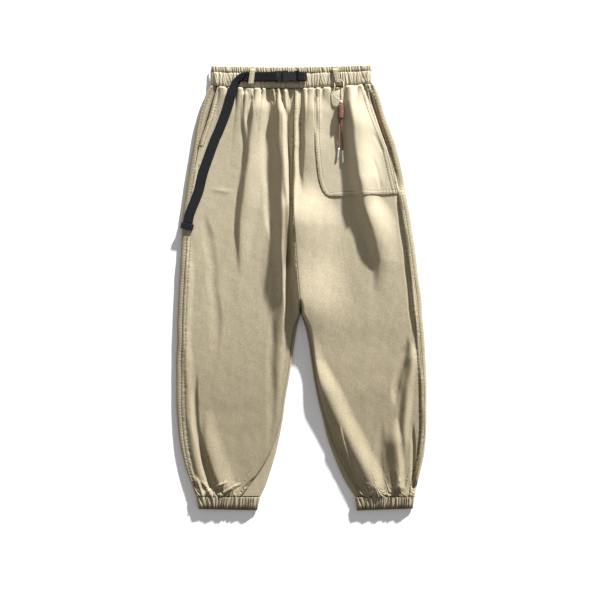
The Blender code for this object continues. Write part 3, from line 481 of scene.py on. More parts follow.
# Puffs of cloth between the tucks under the waistband: x, half width, run down the leg, rise
WAIST_PUFFS = (
    (-166, 8.4, 46, 3.2), (-148, 8.0, 50, 3.0), (-129, 7.0, 80, 5.0), (-110, 9.6, 60, 4.6),
    (-92.4, 8.0, 36, 5.0), (-78.5, 5.0, 60, 5.6), (-60, 4.2, 20, 4.4), (-47.7, 4.2, 70, 5.4),
    (-32, 6.2, 46, 5.2), (-14, 7.8, 30, 2.4), (7.4, 5.4, 40, 4.2), (20, 7.6, 60, 4.8),
    (35.7, 6.0, 30, 2.8), (53.5, 9.0, 46, 3.4), (99.8, 9.0, 70, 3.6),
    (124.5, 6.0, 30, 3.2), (138.6, 6.4, 34, 3.4),
)

front_lines = {
    "right": [edge_line("right_seam", SEAM_ROWS[0], MOUTH_LOW - 12, ROW_FOOT),
              edge_line("right_seam", SEAM_ROWS[1], MOUTH_LOW, ROW_FOOT),
              edge_line("right_slit", MOUTH_ROWS[0], ROW_TOP, 300),
              edge_line("right_slit", MOUTH_ROWS[1], ROW_TOP, 296),
              edge_line("right_inseam", -SEAM_ROWS[0], ROW_TOP - 1, 20)],
    "left": [edge_line("left_seam", -SEAM_ROWS[0], ROW_TOP, ROW_FOOT),
             edge_line("left_seam", -SEAM_ROWS[1], ROW_TOP, ROW_FOOT),
             edge_line("left_inseam", FLY_WIDTH - FLY_ROW, ROW_TOP - 1, FLY_END),
             edge_line("left_inseam", FLY_ROW, ROW_TOP - 1, FLY_END)],
}


def waist_gathers(x, heights):
    """Puffs under the waistband; they widen and sink as they run down, and tuck under the band."""
    down = np.maximum(WAIST_Y - heights, 0)
    total = np.zeros(np.broadcast(x, heights).shape)
    for k, (middle, half, run, rise) in enumerate(WAIST_PUFFS):
        lean = 0.05 * math.sin(2.3 * k) * down
        side = (x - middle - lean) / (half * (1 + 0.7 * down / (run + 20)))
        crown = np.clip(1 - np.abs(side) ** 2.4, 0, 1)
        total = np.maximum(total, rise * crown * np.exp(-(down / run) ** 1.3))
    tuck = np.clip(1 - total / 2.4, 0, 1) * np.exp(-down / 13)
    return total + 0.8 * np.exp(-(down / 30) ** 2) - 3.4 * tuck - 3.0 * np.exp(-(down / 1.5) ** 2)


def leg_shading(heights):
    """Painted shading down the legs: the thighs and hips are painted paler than the shins."""
    return LEG_SHADING * (ease((heights + 330) / 560) - 0.62)


def ankle_lobes(u):
    """Puffs of cloth side by side along the cuff, 0 in the tucks and 1 on their crowns."""
    return np.abs(np.sin(np.pi * (ANKLE_GATHERS * u + 0.6 * np.sin(u * 23.0))))


def ankle_gathers(u, heights):
    """Gathers above a cuff: the cloth swells over the cuff's edge, then tucks under it."""
    up = np.maximum(heights - ANKLE_Y, 0)
    slant = 0.012 * up * np.sin(u * 17.0 + 0.6)
    wave = 1 - ankle_lobes(u + slant) ** 0.8
    run = 20 + 11 * np.sin(u * 37.0 + 1) + 6 * np.sin(u * 61.0)
    swell = 2.4 * np.exp(-((up - 6) / 10) ** 2) - 2.6 * np.exp(-(up / 1.3) ** 2)
    return swell - ANKLE_RISE * (wave - 0.35) * np.exp(-(up / run) ** 1.3)


panel_rows = np.concatenate((np.arange(WAIST_Y, WAIST_Y - 60, -FINE_ROW),
                             np.arange(WAIST_Y - 60, ANKLE_Y + 36, -WIDE_ROW),
                             np.arange(ANKLE_Y + 36, ANKLE_Y + 0.4, -FINE_ROW), [ANKLE_Y]))[:, None]


def front_panel(side):
    """Outer face of a front panel: folds, waist and ankle gathers, fell seam and sewing."""
    right = side == "right"
    low, high = ("right_slit", "right_inseam") if right else ("left_inseam", "left_seam")
    heights = panel_rows + np.zeros(PANEL_COLUMNS)
    u = np.linspace(0, 1, PANEL_COLUMNS)[None, :]
    start = edge(low, panel_rows) + SEAM / 2
    stop = edge(high, panel_rows) - SEAM / 2
    x = start + (stop - start) * u
    y = bend_row(x, heights)
    z = front_height(x, heights) + waist_gathers(x, heights) + ankle_gathers(u, heights)
    lap = ANKLE_LAP * (ankle_lobes(u) - 0.25) * np.exp(-((heights - ANKLE_Y) / 6) ** 2)
    y = y - lap * ease((np.minimum(x - start, stop - x) - 2) / 6)
    outer, inner = (x - start, stop - x) if right else (stop - x, x - start)
    below = ease((MOUTH_LOW - heights) / 20) if right else 1.0
    z = z + FELL_RISE * ease((FELL_WIDTH - outer) / 1.5) * below + crumple(x, y)
    if right:
        middle, half, upper, lower = LAP_PAINTED_SHADOW
        # Painted shadow on the lap fold's lit crest
        shade = -0.95 * np.exp(-((x - middle) / half) ** 2)
        shade = shade * ease((upper - heights) / 30) * ease((heights - lower) / 30)
        z = z + MOUTH_LIFT * ease((12 - outer) / 12) * ease((heights - 285) / 30)
    else:
        z = z + FELL_RISE * ease((FLY_WIDTH - inner) / 1.5) * ease((heights - FLY_END) / 8)
        mouth_x, mouth_y = zip(*reversed(POCKET_OPENING))
        past_mouth = x - np.interp(heights, mouth_y, mouth_x)
        # Painted shade in the hollow just past the pocket's mouth
        shade = -0.6 * np.exp(-((past_mouth - 5) / 4.5) ** 2) * ease((heights - mouth_y[0]) / 30)
    relief, wear_and_shading = sewn_relief(front_lines[side], x, heights)
    # Painted shade along the front rise seam below the fly
    rise_seam_shade = -0.35 * ease((6 - inner) / 6) * (heights < FLY_END)
    # Painted shade in a thin line just beyond the fell's raised edge
    fell_edge_shade = -0.5 * np.exp(-((outer - FELL_WIDTH - 0.8) / 1.2) ** 2) * below
    return grid_piece("cloth_front_" + side, x, y, z + relief, twill_cloth("twill front " + side),
                      wear_and_shading=wear_and_shading + rise_seam_shade + leg_shading(heights) + fell_edge_shade + shade)


front_right = belongs(front_panel("right"), "twill", "front_right")
front_left = belongs(front_panel("left"), "twill", "front_left")


# Back leg panels
# The backs lie flat on the table and roll up round the sides to the side seams and the inseams,
# where they are felled to the fronts. A narrow strip of them shows beyond each seam.
BACK_ROWS = 480
ROLL_STEPS = 9


def rolled_edge(seam_x, seam_z, outer_x):
    """From the seam over the edge of the garment and down to the table, for every row."""
    way = np.sign(outer_x - seam_x)
    reach = np.abs(outer_x - seam_x)
    middle = seam_z / 2
    xs, zs = [seam_x], [seam_z]
    level = seam_x + way * np.minimum(1.6, reach * 0.4)
    for k in range(ROLL_STEPS, 0, -1):
        angle = math.pi / 2 * k / ROLL_STEPS
        xs.append(outer_x - way * np.abs(outer_x - level) * (1 - math.cos(angle)))
        zs.append(middle + (seam_z - middle) * math.sin(angle))
    for k in range(ROLL_STEPS + 1):
        angle = math.pi / 2 * k / ROLL_STEPS
        xs.append(outer_x - way * middle * (1 - math.cos(angle)))
        zs.append(middle * (1 - math.sin(angle)))
    return np.stack(xs, axis=1), np.stack(zs, axis=1)


def back_panel(side):
    """Outer face of a back panel."""
    way = -1 if side == "right" else 1
    heights = np.linspace(WAIST_Y, ANKLE_Y, BACK_ROWS)
    seam, outer = edge(side + "_seam", heights), edge(side + "_outer", heights)
    inseam, inner = edge(side + "_inseam", heights), edge(side + "_inner", heights)
    fell = FELL_RISE * 0.6
    xs, zs = rolled_edge(seam, front_height(seam, heights) + fell, outer)
    roll_x, roll_z = rolled_edge(inseam, 0 * inseam + INSEAM_HEIGHT - 0.2, inner)
    curl = inseam_curl(heights)[:, None]
    flat_x = inseam[:, None] + way * (SEAM / 2 + 1.6 * np.arange(roll_x.shape[1])[None, :])
    close_x = flat_x + curl * (roll_x + way * SEAM / 2 - flat_x)
    close_z = curl * roll_z
    middle = np.linspace(0, 1, 8)[None, 1:-1]
    span_x = xs[:, -1:] + (close_x[:, -1:] - xs[:, -1:]) * middle
    x = np.concatenate((xs, span_x, close_x[:, ::-1]), axis=1)
    z = np.concatenate((zs, 0 * span_x, close_z[:, ::-1]), axis=1)
    y = bend_row(x, heights[:, None] + 0 * x)
    ripple = 0.30 * np.sin(heights / 0.95 + 1.2 * np.sin(heights / 9.0))[:, None]
    near = np.exp(-(np.arange(x.shape[1]) / 3.0) ** 2)[None, :]
    z = z + ripple * near
    return grid_piece("cloth_back_" + side, x, y, z, twill_cloth("twill back " + side),
                      flip=(side == "right"), wear_and_shading=1.5 * near * ripple - 0.14)


back_right = belongs(back_panel("right"), "twill", "back_right")
back_left = belongs(back_panel("left"), "twill", "back_left")
cut(back_right, "laid", 0.272, 0.870, 0.210)
cut(back_left, "laid", 0.296, 0.870, 0.210)
cut(front_right, "laid", 0.262, 0.870, 0.195, "cloth_back_right")
cut(front_left, "laid", 0.288, 0.872, 0.201, "cloth_back_left")


# Facing of the right pocket
# A strip of the same twill sewn to the side seam. It shows in the slanted slit of the pocket,
# and goes under the front panel's turned edge.
FACING_UNDER = 8.0
FACING_DROP = 4.2
u = np.linspace(0, 1, 16)[None, :]
heights = np.linspace(WAIST_Y, MOUTH_LOW, 90)[:, None] + 0 * u
seam = edge("right_seam", heights)
slit = edge("right_slit", heights)
x = seam + 0.4 + (slit + FACING_UNDER - seam) * u
seam_z = front_height(seam, heights)
under = np.minimum(front_height(slit + FACING_UNDER, heights), seam_z) - FACING_DROP
dip = ease((x - seam) / (slit - seam + 0.5))
z = seam_z - 0.2 + (under - seam_z + 0.2) * dip + 0.4 * crumple(x, heights)
facing_line = edge_line("right_seam", MOUTH_ROWS[0], ROW_TOP, MOUTH_LOW + 2)
relief, wear_and_shading = sewn_relief([facing_line], x, heights)
# Painted shade that deepens toward the slit, under the front panel's edge
pocket_facing = grid_piece("cloth_pocket_facing", x, bend_row(x, heights) - 0.3, z + relief,
                           twill_cloth("twill facing"), wear_and_shading=wear_and_shading - 0.9 * dip**2)
belongs(pocket_facing, "twill", "pocket_facing")
cut(pocket_facing, "laid", 0.056, 0.165, 0.0031, "cloth_back_right")


# Waistband
# A straight strip of twill folded over a wide elastic and pulled up into close gathers. A row of
# stitches through the elastic leaves a dense frill above it and looser gathers below.
BAND_TOP = ((-190.0, 467.8), (-3.0, 465.7), (148.0, 469.9))
BAND_EDGE = 0.35
BAND_WALL = 1.8
BAND_HEIGHT = 9.2
BAND_GATHERS = 36
BAND_COLUMNS = 640
BAND_ROWS = 30
BAND_SLANT = 35.0
BACK_BAND_GATHERS = 20
BACK_BAND_WALL = 1.5
END_ROLL = 14.0
END_HEIGHT = 4.6
STITCH_SHARE = 0.70
CUFF_FOOT = 2.4


def band_lines(top, bottom, u):
    """x and y along a band's upper and lower edge; each edge is a curve or a straight line."""
    x_top = top[0][0] + (top[-1][0] - top[0][0]) * u
    x_low = bottom[0][0] + (bottom[-1][0] - bottom[0][0]) * u
    if len(top) == 3:
        return x_top, through(top, x_top), x_low, BAND_EDGE + through(bottom, x_low)
    return (x_top, top[0][1] + (top[1][1] - top[0][1]) * u,
            x_low, bottom[0][1] + (bottom[1][1] - bottom[0][1]) * u)


def gathered_band(name, top, bottom, gathers, height, face, node, columns, rows, tone):
    """An elastic band: uneven soft gathers, rolled down at both ends."""
    share = np.linspace(1, 0, rows)[:, None]
    u = np.linspace(0, 1, columns)[None, :]
    x_top, y_top, x_low, y_low = band_lines(top, bottom, u)
    x = x_low + (x_top - x_low) * share
    y = y_low + (y_top - y_low) * share
    left = bottom[0][0] + (top[0][0] - bottom[0][0]) * share
    right = bottom[-1][0] + (top[-1][0] - bottom[-1][0]) * share
    t = np.clip(np.minimum(x - left, right - x) / END_ROLL, 0, 1)
    roll = np.sqrt(1 - (1 - t) ** 2)
    relief = face(u * gathers, share)
    z = END_HEIGHT + (height - END_HEIGHT) * roll + roll * relief
    edge_wave = 0.5 * np.sin(u * gathers * 2 * np.pi * 0.9 + 2 * np.sin(u * 13))
    y = y + edge_wave * ease((share - 0.85) / 0.15)
    if len(top) == 2:
        z = z + (CUFF_FOOT - z) * ease((0.09 - share) / 0.09)
    # Painted shade in the creases between the gathers; the crowns are painted paler, and tone darkens the
    # whole band
    depth = (relief - relief.min()) / (relief.max() - relief.min())
    wear_and_shading = 0.42 - 0.62 * tone - (1.15 + 0.1 * tone) * np.clip(1.1 - depth / (0.5 + 0.08 * tone), 0, 1)
    piece = grid_piece(name, x, y, z, twill_cloth("twill " + name, BAND_SLANT), wall=BAND_WALL, wear_and_shading=wear_and_shading)
    return belongs(piece, "twill", node)


def pleat(phase, sharp=1.0):
    """Rounded pleats with narrow creases between, 0 to 1."""
    return np.abs(np.sin(np.pi * phase)) ** sharp


def waist_face(phase, share):
    """Relief of the band: gathers below the stitch row, a dense frill above it."""
    drift = 0.55 * np.sin(phase * 0.83) + 0.3 * np.sin(phase * 2.1 + 1)
    slant = 0.5 * (share - 0.35) * np.sin(phase * 0.61 + 2)
    lower = 3.2 * pleat(phase + drift + slant, 0.5) * (0.8 + 0.3 * np.sin(phase * 1.31))
    lower = lower + 0.7 * pleat(2.3 * phase + drift + 2.2 * share)
    frill = 2.4 * pleat(1.75 * phase + 1.4 * drift + 0.9 * share, 0.7) * (0.8 + 0.3 * np.sin(phase * 2.3))
    above = ease((share - STITCH_SHARE + 0.03) / 0.06)
    bulge = 0.9 * np.sin(np.pi * np.clip(share / STITCH_SHARE, 0, 1)) * (1 - above)
    bulge = bulge + above * 0.6 * np.sin(np.pi * np.clip((share - STITCH_SHARE) / (1 - STITCH_SHARE), 0, 1))
    groove = -1.5 * np.exp(-((share - STITCH_SHARE) / 0.03) ** 2)
    edge_pull = 0.55 + 0.45 * ease(share / 0.15)
    return lower * (1 - above) * edge_pull + frill * above + bulge + groove - 0.3


band = gathered_band("cloth_waistband_front", BAND_TOP, BAND_BOTTOM, BAND_GATHERS, BAND_HEIGHT, waist_face,
                     "waistband_front", BAND_COLUMNS, BAND_ROWS, 0.0)
cut(band, "gathered", 0.366, 0.0488, 0.0177)


def flat_band(name, top, bottom, gathers, node):
    """The back half of a band, flat on the table under the front half."""
    share = np.linspace(1, 0, 12)[:, None]
    u = np.linspace(0, 1, gathers * 8)[None, :]
    x = bottom[0][0] + 1.5 + (bottom[-1][0] - bottom[0][0] - 3.0) * u
    x = x + ((top[0][0] - bottom[0][0]) * (1 - u) + (top[-1][0] - bottom[-1][0]) * u) * share
    if len(top) == 3:
        y = BAND_EDGE + through(bottom, x) + (through(top, x) - through(bottom, x) - BAND_EDGE) * share
    else:
        y_top = top[0][1] + (top[1][1] - top[0][1]) * u
        y_low = bottom[0][1] + (bottom[1][1] - bottom[0][1]) * u
        y = y_low + (y_top - y_low) * share
    z = 0.84 * (1 - pleat(u * gathers + 0.3 * np.sin(u * 40), 0.6)) + 0 * share
    piece = grid_piece(name, x, y, z, twill_cloth("twill " + name, BAND_SLANT), wall=BACK_BAND_WALL,
                       flip=True)
    return belongs(piece, "twill", node)


band = flat_band("cloth_waistband_back", BAND_TOP, BAND_BOTTOM, BACK_BAND_GATHERS, "waistband_back")
cut(band, "gathered", 0.338, 0.0488, 0.0143)


# Cuffs
# Each cuff is a short strip of twill folded round an elastic, like the waistband, and pulled in to
# about half the leg's width. Its gathers lie close and sharp, with no stitch row between.
CUFFS = {
    "right": ((-221.6, -438.0), (-86.1, -438.0), (-216.3, -464.0), (-93.5, -466.6)),
    "left": ((112.4, -438.0), (238.4, -438.0), (116.6, -467.0), (234.2, -463.0)),
}
# Flat width and area of each cuff's front half, then of its back half
CUFF_CUT = {"right": (0.200, 0.0056, 0.133, 0.0035), "left": (0.190, 0.0054, 0.124, 0.0033)}
CUFF_GATHERS = 16
CUFF_HEIGHT = 11.5
CUFF_SLOPE = -4.5
CUFF_COLUMNS = 300
CUFF_ROWS = 26


def cuff_face(phase, share):
    """Relief of a cuff: sharp uneven pleats that fan a little."""
    drift = 0.42 * np.sin(phase * 0.9 + 0.5) + 0.14 * np.sin(phase * 2.7)
    fan = 0.7 * (share - 0.5) * np.sin(phase * 0.5 + 1) + 0.25 * (share - 0.5) * np.sin(phase * 1.9)
    deep = 4.2 * pleat(phase * 1.15 + drift + fan, 0.6)
    fine = 1.0 * pleat(2.6 * phase + 2 * drift + 0.6 * share)
    bulge = 0.8 * np.sin(np.pi * share) + CUFF_SLOPE * (1 - share)
    even_foot = 0.4 + 0.6 * ease(share / 0.45)
    return (deep * (0.8 + 0.25 * np.sin(phase * 1.9)) + fine) * even_foot + bulge - 0.8


for side, (tl, tr, bl, br) in CUFFS.items():
    front_width, front_area, back_width, back_area = CUFF_CUT[side]
    node = "cuff_" + side
    cuff = gathered_band("cloth_" + node + "_front", (tl, tr), (bl, br), CUFF_GATHERS, CUFF_HEIGHT,
                         cuff_face, node + "_front", CUFF_COLUMNS, CUFF_ROWS, 1.0)
    cut(cuff, "gathered", front_width, 0.0296, front_area)
    cuff = flat_band("cloth_" + node + "_back", (tl, tr), (bl, br), CUFF_GATHERS, node + "_back")
    cut(cuff, "gathered", back_width, 0.0290, back_area)


# Patch pocket
# A large patch of twill laid on the left front, its inner and lower edges turned under and
# stitched down twice, its slanted outer edge open for the hand and stitched to itself.
POCKET_EDGE = [(28.0, 440.0), (28.2, 398.0), (29.4, 302.0), (33.6, 256.0), (37.0, 232.0), (40.6, 219.0),
               (45.5, 206.0), (51.5, 198.0), (60.0, 193.8), (200.0, 199.5)]
POCKET_LIFT = 0.4
POCKET_WALL = 1.1
POCKET_CELL = 1.7
POCKET_ROWS = (2.2, 9.0)
POCKET_TURN = 10.5


def trim(patch, start, stop, keep):
    """Cut an open surface along an upright plane through two points."""
    across = Vector((stop[1] - start[1], start[0] - stop[0], 0.0)).normalized() * keep
    bmesh.ops.bisect_plane(patch, geom=patch.verts[:] + patch.edges[:] + patch.faces[:],
                           plane_co=Vector((start[0] * mm, start[1] * mm, 0.0)), plane_no=across,
                           clear_outer=True, dist=1e-8)


def inner_line(points, amount):
    """A sewn line at an even distance inside a pocket edge."""
    line = []
    for k, (x, y) in enumerate(points):
        ax, ay = points[max(k - 1, 0)]
        bx, by = points[min(k + 1, len(points) - 1)]
        length = math.hypot(bx - ax, by - ay)
        line.append((x - (by - ay) / length * amount, y + (bx - ax) / length * amount))
    return line


pocket_lines = [inner_line(POCKET_EDGE, row) for row in POCKET_ROWS]
pocket_lines += [inner_line(POCKET_OPENING, -row) for row in POCKET_ROWS]
x, heights = np.meshgrid(np.arange(24.0, 208.0, POCKET_CELL), np.arange(WAIST_Y, 186.0, -POCKET_CELL))
relief, wear_and_shading = sewn_relief(pocket_lines, x, heights)
to_edge = np.minimum(from_line(POCKET_EDGE, x, heights)[0], from_line(POCKET_OPENING, x, heights)[0])
z = front_height(x, heights) + waist_gathers(x, heights) + crumple(x, heights) + relief
z = z + POCKET_LIFT + POCKET_WALL + 0.5 * ease((POCKET_TURN - to_edge) / 2.0)
# Painted light: the pocket is painted paler all over, to brighten its flat face
pocket_piece = grid_piece("cloth_patch_pocket", x, bend_row(x, heights), z, twill_cloth("twill pocket"),
                          wall=POCKET_WALL, wear_and_shading=wear_and_shading + leg_shading(heights) + 0.28)
patch = bmesh.new()
patch.from_mesh(pocket_piece.data)
for k in range(len(POCKET_EDGE) - 1):
    trim(patch, POCKET_EDGE[k], POCKET_EDGE[k + 1], 1)
for k in range(len(POCKET_OPENING) - 1):
    trim(patch, POCKET_OPENING[k], POCKET_OPENING[k + 1], -1)
patch.to_mesh(pocket_piece.data)
patch.free()
belongs(pocket_piece, "twill", "patch_pocket")
cut(pocket_piece, "laid", 0.184, 0.237, 0.0356, "cloth_front_left")


# Topstitching
# Thick polyester thread a shade darker than the twill, about three stitches to the centimetre.
# It runs twice beside every felled seam and pocket edge, and short dense bars of zigzag stitches
# hold the ends of the pockets' mouths.
STITCH = 2.6
STITCH_GAP = 1.1
THREAD = 0.42
TACK_STEP = 0.8
TACK_WIDTH = 2.4
RAY_TOP = 0.3
# Rings along a stitch: place on its length and share of the thread's thickness
STITCH_RINGS = ((0.0, 0.45), (0.2, 1.0), (0.8, 1.0), (1.0, 0.45))
STITCH_SIDES = 5
thread = twill_cloth("thread", 45.0, (0.210, 0.165, 0.095, 1), (0.270, 0.218, 0.135, 1))


def faces_of(*pieces):
    """Finished surfaces that sewing and trim are laid on."""
    bpy.context.view_layer.update()
    graph = bpy.context.evaluated_depsgraph_get()
    return [BVHTree.FromObject(piece, graph) for piece in pieces]


def top_of(surfaces, x, y):
    """Height of the highest surface at a place, in millimetres."""
    best = 0.0
    for layer in surfaces:
        hit = layer.ray_cast(Vector((x * mm, y * mm, RAY_TOP)), Vector((0, 0, -1)))[0]
        if hit:
            best = max(best, hit.z / mm)
    return best


def walk(points, step):
    """Places at even steps along a line."""
    places, left = [], 0.0
    for (ax, ay), (bx, by) in zip(points[:-1], points[1:]):
        length = math.hypot(bx - ax, by - ay)
        s = left
        while s < length:
            places.append((ax + (bx - ax) * s / length, ay + (by - ay) * s / length))
            s += step
        left = s - length
    return places


def stitch_mesh(name, pairs, radius, material):
    """Short rounded stitches, each from one needle hole to the next."""
    points, faces = [], []
    for a, b in pairs:
        a, b = Vector(a), Vector(b)
        along = (b - a).normalized()
        across = along.cross(Vector((0, 0, 1))).normalized()
        up = across.cross(along)
        first = len(points)
        for share, size in STITCH_RINGS:
            middle = a.lerp(b, share) + up * radius * (size - 0.6)
            for k in range(STITCH_SIDES):
                angle = 2 * math.pi * k / STITCH_SIDES
                spoke = across * math.cos(angle) + up * math.sin(angle)
                points.append((middle + spoke * radius * size) * mm)
        for ring in range(len(STITCH_RINGS) - 1):
            for k in range(STITCH_SIDES):
                p, q = first + ring * STITCH_SIDES + k, first + ring * STITCH_SIDES + (k + 1) % STITCH_SIDES
                faces.append((p, p + STITCH_SIDES, q + STITCH_SIDES, q))
        faces.append(tuple(range(first, first + STITCH_SIDES)))
        faces.append(tuple(reversed(range(len(points) - STITCH_SIDES, len(points)))))
    return belongs(mesh_piece(name, points, faces, material), "twill")


def sew(name, lines, surfaces):
    """Stitches along lines, lying on the cloth."""
    pairs = []
    share = STITCH / (STITCH + STITCH_GAP)
    for line in lines:
        places = walk(line, STITCH + STITCH_GAP)
        for (ax, ay), (bx, by) in zip(places[:-1], places[1:]):
            cx, cy = ax + (bx - ax) * share, ay + (by - ay) * share
            ay, cy = float(bend_row(ax, ay)), float(bend_row(cx, cy))
            za, zc = top_of(surfaces, ax, ay), top_of(surfaces, cx, cy)
            if za > 0 and zc > 0 and abs(za - zc) < 2.5:
                pairs.append(((ax, ay, za + 0.1), (cx, cy, zc + 0.1)))
    return stitch_mesh(name, pairs, THREAD, thread)


def bartack(name, x, y, angle, length, lift):
    """A short dense bar of zigzag stitches that holds the end of an opening."""
    middle = Vector((x, y, top_of(front_face, x, y) + lift))
    way = Vector((math.cos(angle), math.sin(angle), 0))
    side_way = Vector((-way.y, way.x, 0))
    count = int(length / TACK_STEP)
    spots = [middle + way * length * (k / count - 0.5) + side_way * TACK_WIDTH / 2 * (-1) ** k
             for k in range(count + 1)]
    return stitch_mesh(name, list(zip(spots[:-1], spots[1:])), THREAD, thread)


front_face = faces_of(front_right, front_left, pocket_piece, pocket_facing)
bartack("bartack_slit", -212.0, 302.0, math.radians(-10), 11.0, 0.5)
bartack("bartack_pocket_corner", 33.6, 408.0, math.radians(90), 9.0, 0.4)
bartack("bartack_pocket_foot", 200.0, 205.0, math.radians(90), 9.0, 0.4)
sew("stitches_front_right", front_lines["right"], faces_of(front_right))
sew("stitches_front_left", front_lines["left"], faces_of(front_left))
sew("stitches_pocket", pocket_lines, faces_of(pocket_piece))


# Belt loops
# Two strips of twill folded in three and stitched along both edges, sewn to the top and the foot of
# the waistband. The belt runs under the right one; the charm hangs from the left one.
LOOPS = {"right": (-101.8, -107.1, 11.0, 4.2), "left": (69.3, 78.3, 11.0, 3.6)}
LOOP_BASE = 13.2
LOOP_WALL = 1.4
LOOP_ROWS = 40
LOOP_COLUMNS = 15
TACK_STITCHES = 14
TACK_HALF = 0.9
# Rows of stitches at the top and the foot of a loop, as shares of its length
TACKS = (("top", 0.04), ("foot", 0.94))

for side, (top_x, low_x, width, stand) in LOOPS.items():
    t = np.linspace(0, 1, LOOP_ROWS)[:, None]
    across = np.linspace(-1, 1, LOOP_COLUMNS)[None, :]
    middle = top_x + (low_x - top_x) * t
    top_y, low_y = through(BAND_TOP, middle) - 1.2, through(BAND_BOTTOM, middle) + 0.4
    x = middle + across * width / 2
    y = top_y + (low_y - top_y) * t + 0 * across
    z = LOOP_BASE + stand * np.minimum(1, np.sin(np.pi * t) * 1.9) + 0.3 * (1 - across**2)
    rows = np.exp(-((np.abs(across) - 0.62) / 0.12) ** 2)
    z = z - 0.35 * rows + 0.25 * np.sin(y / 1.1) * rows
    # The loop is painted a little paler, with painted shade in the grooves of its stitch rows
    loop = grid_piece("cloth_belt_loop_" + side, x, y, z, twill_cloth("twill loop " + side, 10.0),
                      wall=LOOP_WALL, wear_and_shading=0.25 - 0.25 * rows + 0 * t)
    belongs(loop, "twill", "belt_loop_" + side)
    cut(loop, "folded", 0.0125, 0.043, 0.00048, "cloth_waistband_front")
    for end, level in TACKS:
        k = int(level * (LOOP_ROWS - 1))
        centre = Vector((middle[k, 0], y[k, 0], z[k, LOOP_COLUMNS // 2] + 0.25))
        bars = []
        for j in range(TACK_STITCHES):
            lift = Vector((0, TACK_HALF if j % 2 else -TACK_HALF, 0))
            a, b = [Vector((((j + step) / TACK_STITCHES - 0.5) * width * 0.86, 0, 0)) for step in (0, 1)]
            bars.append((centre + a - lift, centre + b + lift))
        stitch_mesh("bartack_" + side + "_loop_" + end, bars, THREAD, thread)


# Belt webbing
# One length of black 20 mm polyester webbing, ribbed across. It starts under the right loop, goes
# round the buckle's bar and back through the loop, folds over at a slant and hangs down the hip.
STRAP_WIDTH = 20.0
STRAP_WALL = 1.4
BELT_Y = 444.5
BUCKLE_Z = 16.9
BAR_X = -53.3
WRAP = 3.0
BAR_STEPS = 12
UNDER_Z = 12.5
OVER_Z = 14.35
CREASE_HIGH = Vector((-113.0, 454.5, 0))
CREASE_LOW = Vector((-128.0, 434.5, 0))
CREASE_WRAP = 1.6
CREASE_STEPS = 8
STRAP_COLUMNS = 11
STRAP_SAG = 0.012
SAG_TURNS = 400
# Where the strap turns down past the fold: x and y of its outer and its inner edge
TURN_OUTER = ((-113.0, 454.5), (-128.0, 451.5), (-142.0, 440.0), (-151.5, 424.0), (-158.6, 404.8))
TURN_INNER = ((-128.0, 434.5), (-130.0, 429.5), (-132.5, 421.5), (-135.6, 411.0), (-139.2, 399.8))
TAIL_LINE = [(-148.9, 402.3), (-153.4, 386.0), (-159.4, 367.8), (-172.2, 334.2), (-180.2, 316.8),
             (-193.4, 281.3), (-206.9, 241.8), (-214.8, 208.2), (-222.2, 187.8), (-234.2, 157.5),
             (-238.4, 138.0)]
RIB = 0.9
WARP = 0.7


def webbing_material(name, colour):
    """Woven webbing: ribs across its length and a fine weave on them, from its own measure."""
    web, tree, shader = surface(name, Roughness=0.8, Specular_IOR_Level=0.10)
    place = add(tree, "TexCoord")
    measure = place.outputs["UV"]
    ribs = add(tree, "TexWave", Vector=measure, bands_direction="Y", Scale=math.pi / (10 * RIB * mm),
               Distortion=0.4)
    warp = add(tree, "TexWave", Vector=measure, bands_direction="X", Scale=math.pi / (10 * WARP * mm))
    fuzz = add(tree, "TexNoise", Vector=place.outputs["Object"], Scale=400.0, Detail=4.0)
    dark, light = [tuple(c * share for c in colour[:3]) + (1,) for share in (0.7, 1.5)]
    shade = add(tree, "Mix", data_type="RGBA", Factor=fuzz.outputs["Fac"], A=dark, B=light)
    tree.links.new(shade.outputs["Result"], shader.inputs["Base Color"])
    lay_bumps(tree, shader, (ribs.outputs["Fac"], 0.8, 0.0004), (warp.outputs["Fac"], 0.5, 0.0002),
              (fuzz.outputs["Fac"], 0.3, 0.0003))
    return web


black_webbing = webbing_material("black webbing", (0.011, 0.011, 0.0125, 1))


def measured(piece, across):
    """Lay the material's measure on a strip: across it and along it, in metres."""
    mesh = piece.data
    middles = [mesh.vertices[k].co for k in range(across // 2, len(mesh.vertices), across)]
    runs = [0.0]
    for a, b in zip(middles[:-1], middles[1:]):
        runs.append(runs[-1] + (b - a).length)
    layer = mesh.uv_layers.new(name="measure")
    for loop in mesh.loops:
        row, column = divmod(loop.vertex_index, across)
        layer.data[loop.index].uv = (column / (across - 1) * STRAP_WIDTH * mm, runs[row])


def smooth_path(points, steps):
    """Points along a smooth curve through the given ones."""
    points = [Vector(p) for p in points]
    result = []
    for k in range(len(points) - 1):
        p0, p1 = points[max(k - 1, 0)], points[k]
        p2, p3 = points[k + 1], points[min(k + 2, len(points) - 1)]
        for step in range(steps):
            t = step / steps
            result.append(0.5 * (2 * p1 + (p2 - p0) * t + (2 * p0 - 5 * p1 + 4 * p2 - p3) * t * t
                                 + (3 * p1 - p0 - 3 * p2 + p3) * t**3))
    result.append(points[-1])
    return result


def strip(name, pairs, across, wall, material, slot, *nodes):
    """A strip of webbing from the pairs of its edge points."""
    share = np.linspace(0, 1, across)
    a = np.array([tuple(p) for p, q in pairs])[:, None, :]
    b = np.array([tuple(q) for p, q in pairs])[:, None, :]
    grid = a + (b - a) * share[None, :, None]
    piece = grid_piece(name, grid[..., 0], grid[..., 1], grid[..., 2], material, wall=wall, offset=0.0)
    measured(piece, across)
    return belongs(piece, slot, *nodes)


def across_belt(course, half):
    """Edge points of a strip that runs along the belt, from its places along and up."""
    return [(Vector((x, BELT_Y + half, z)), Vector((x, BELT_Y - half, z))) for x, z in course]


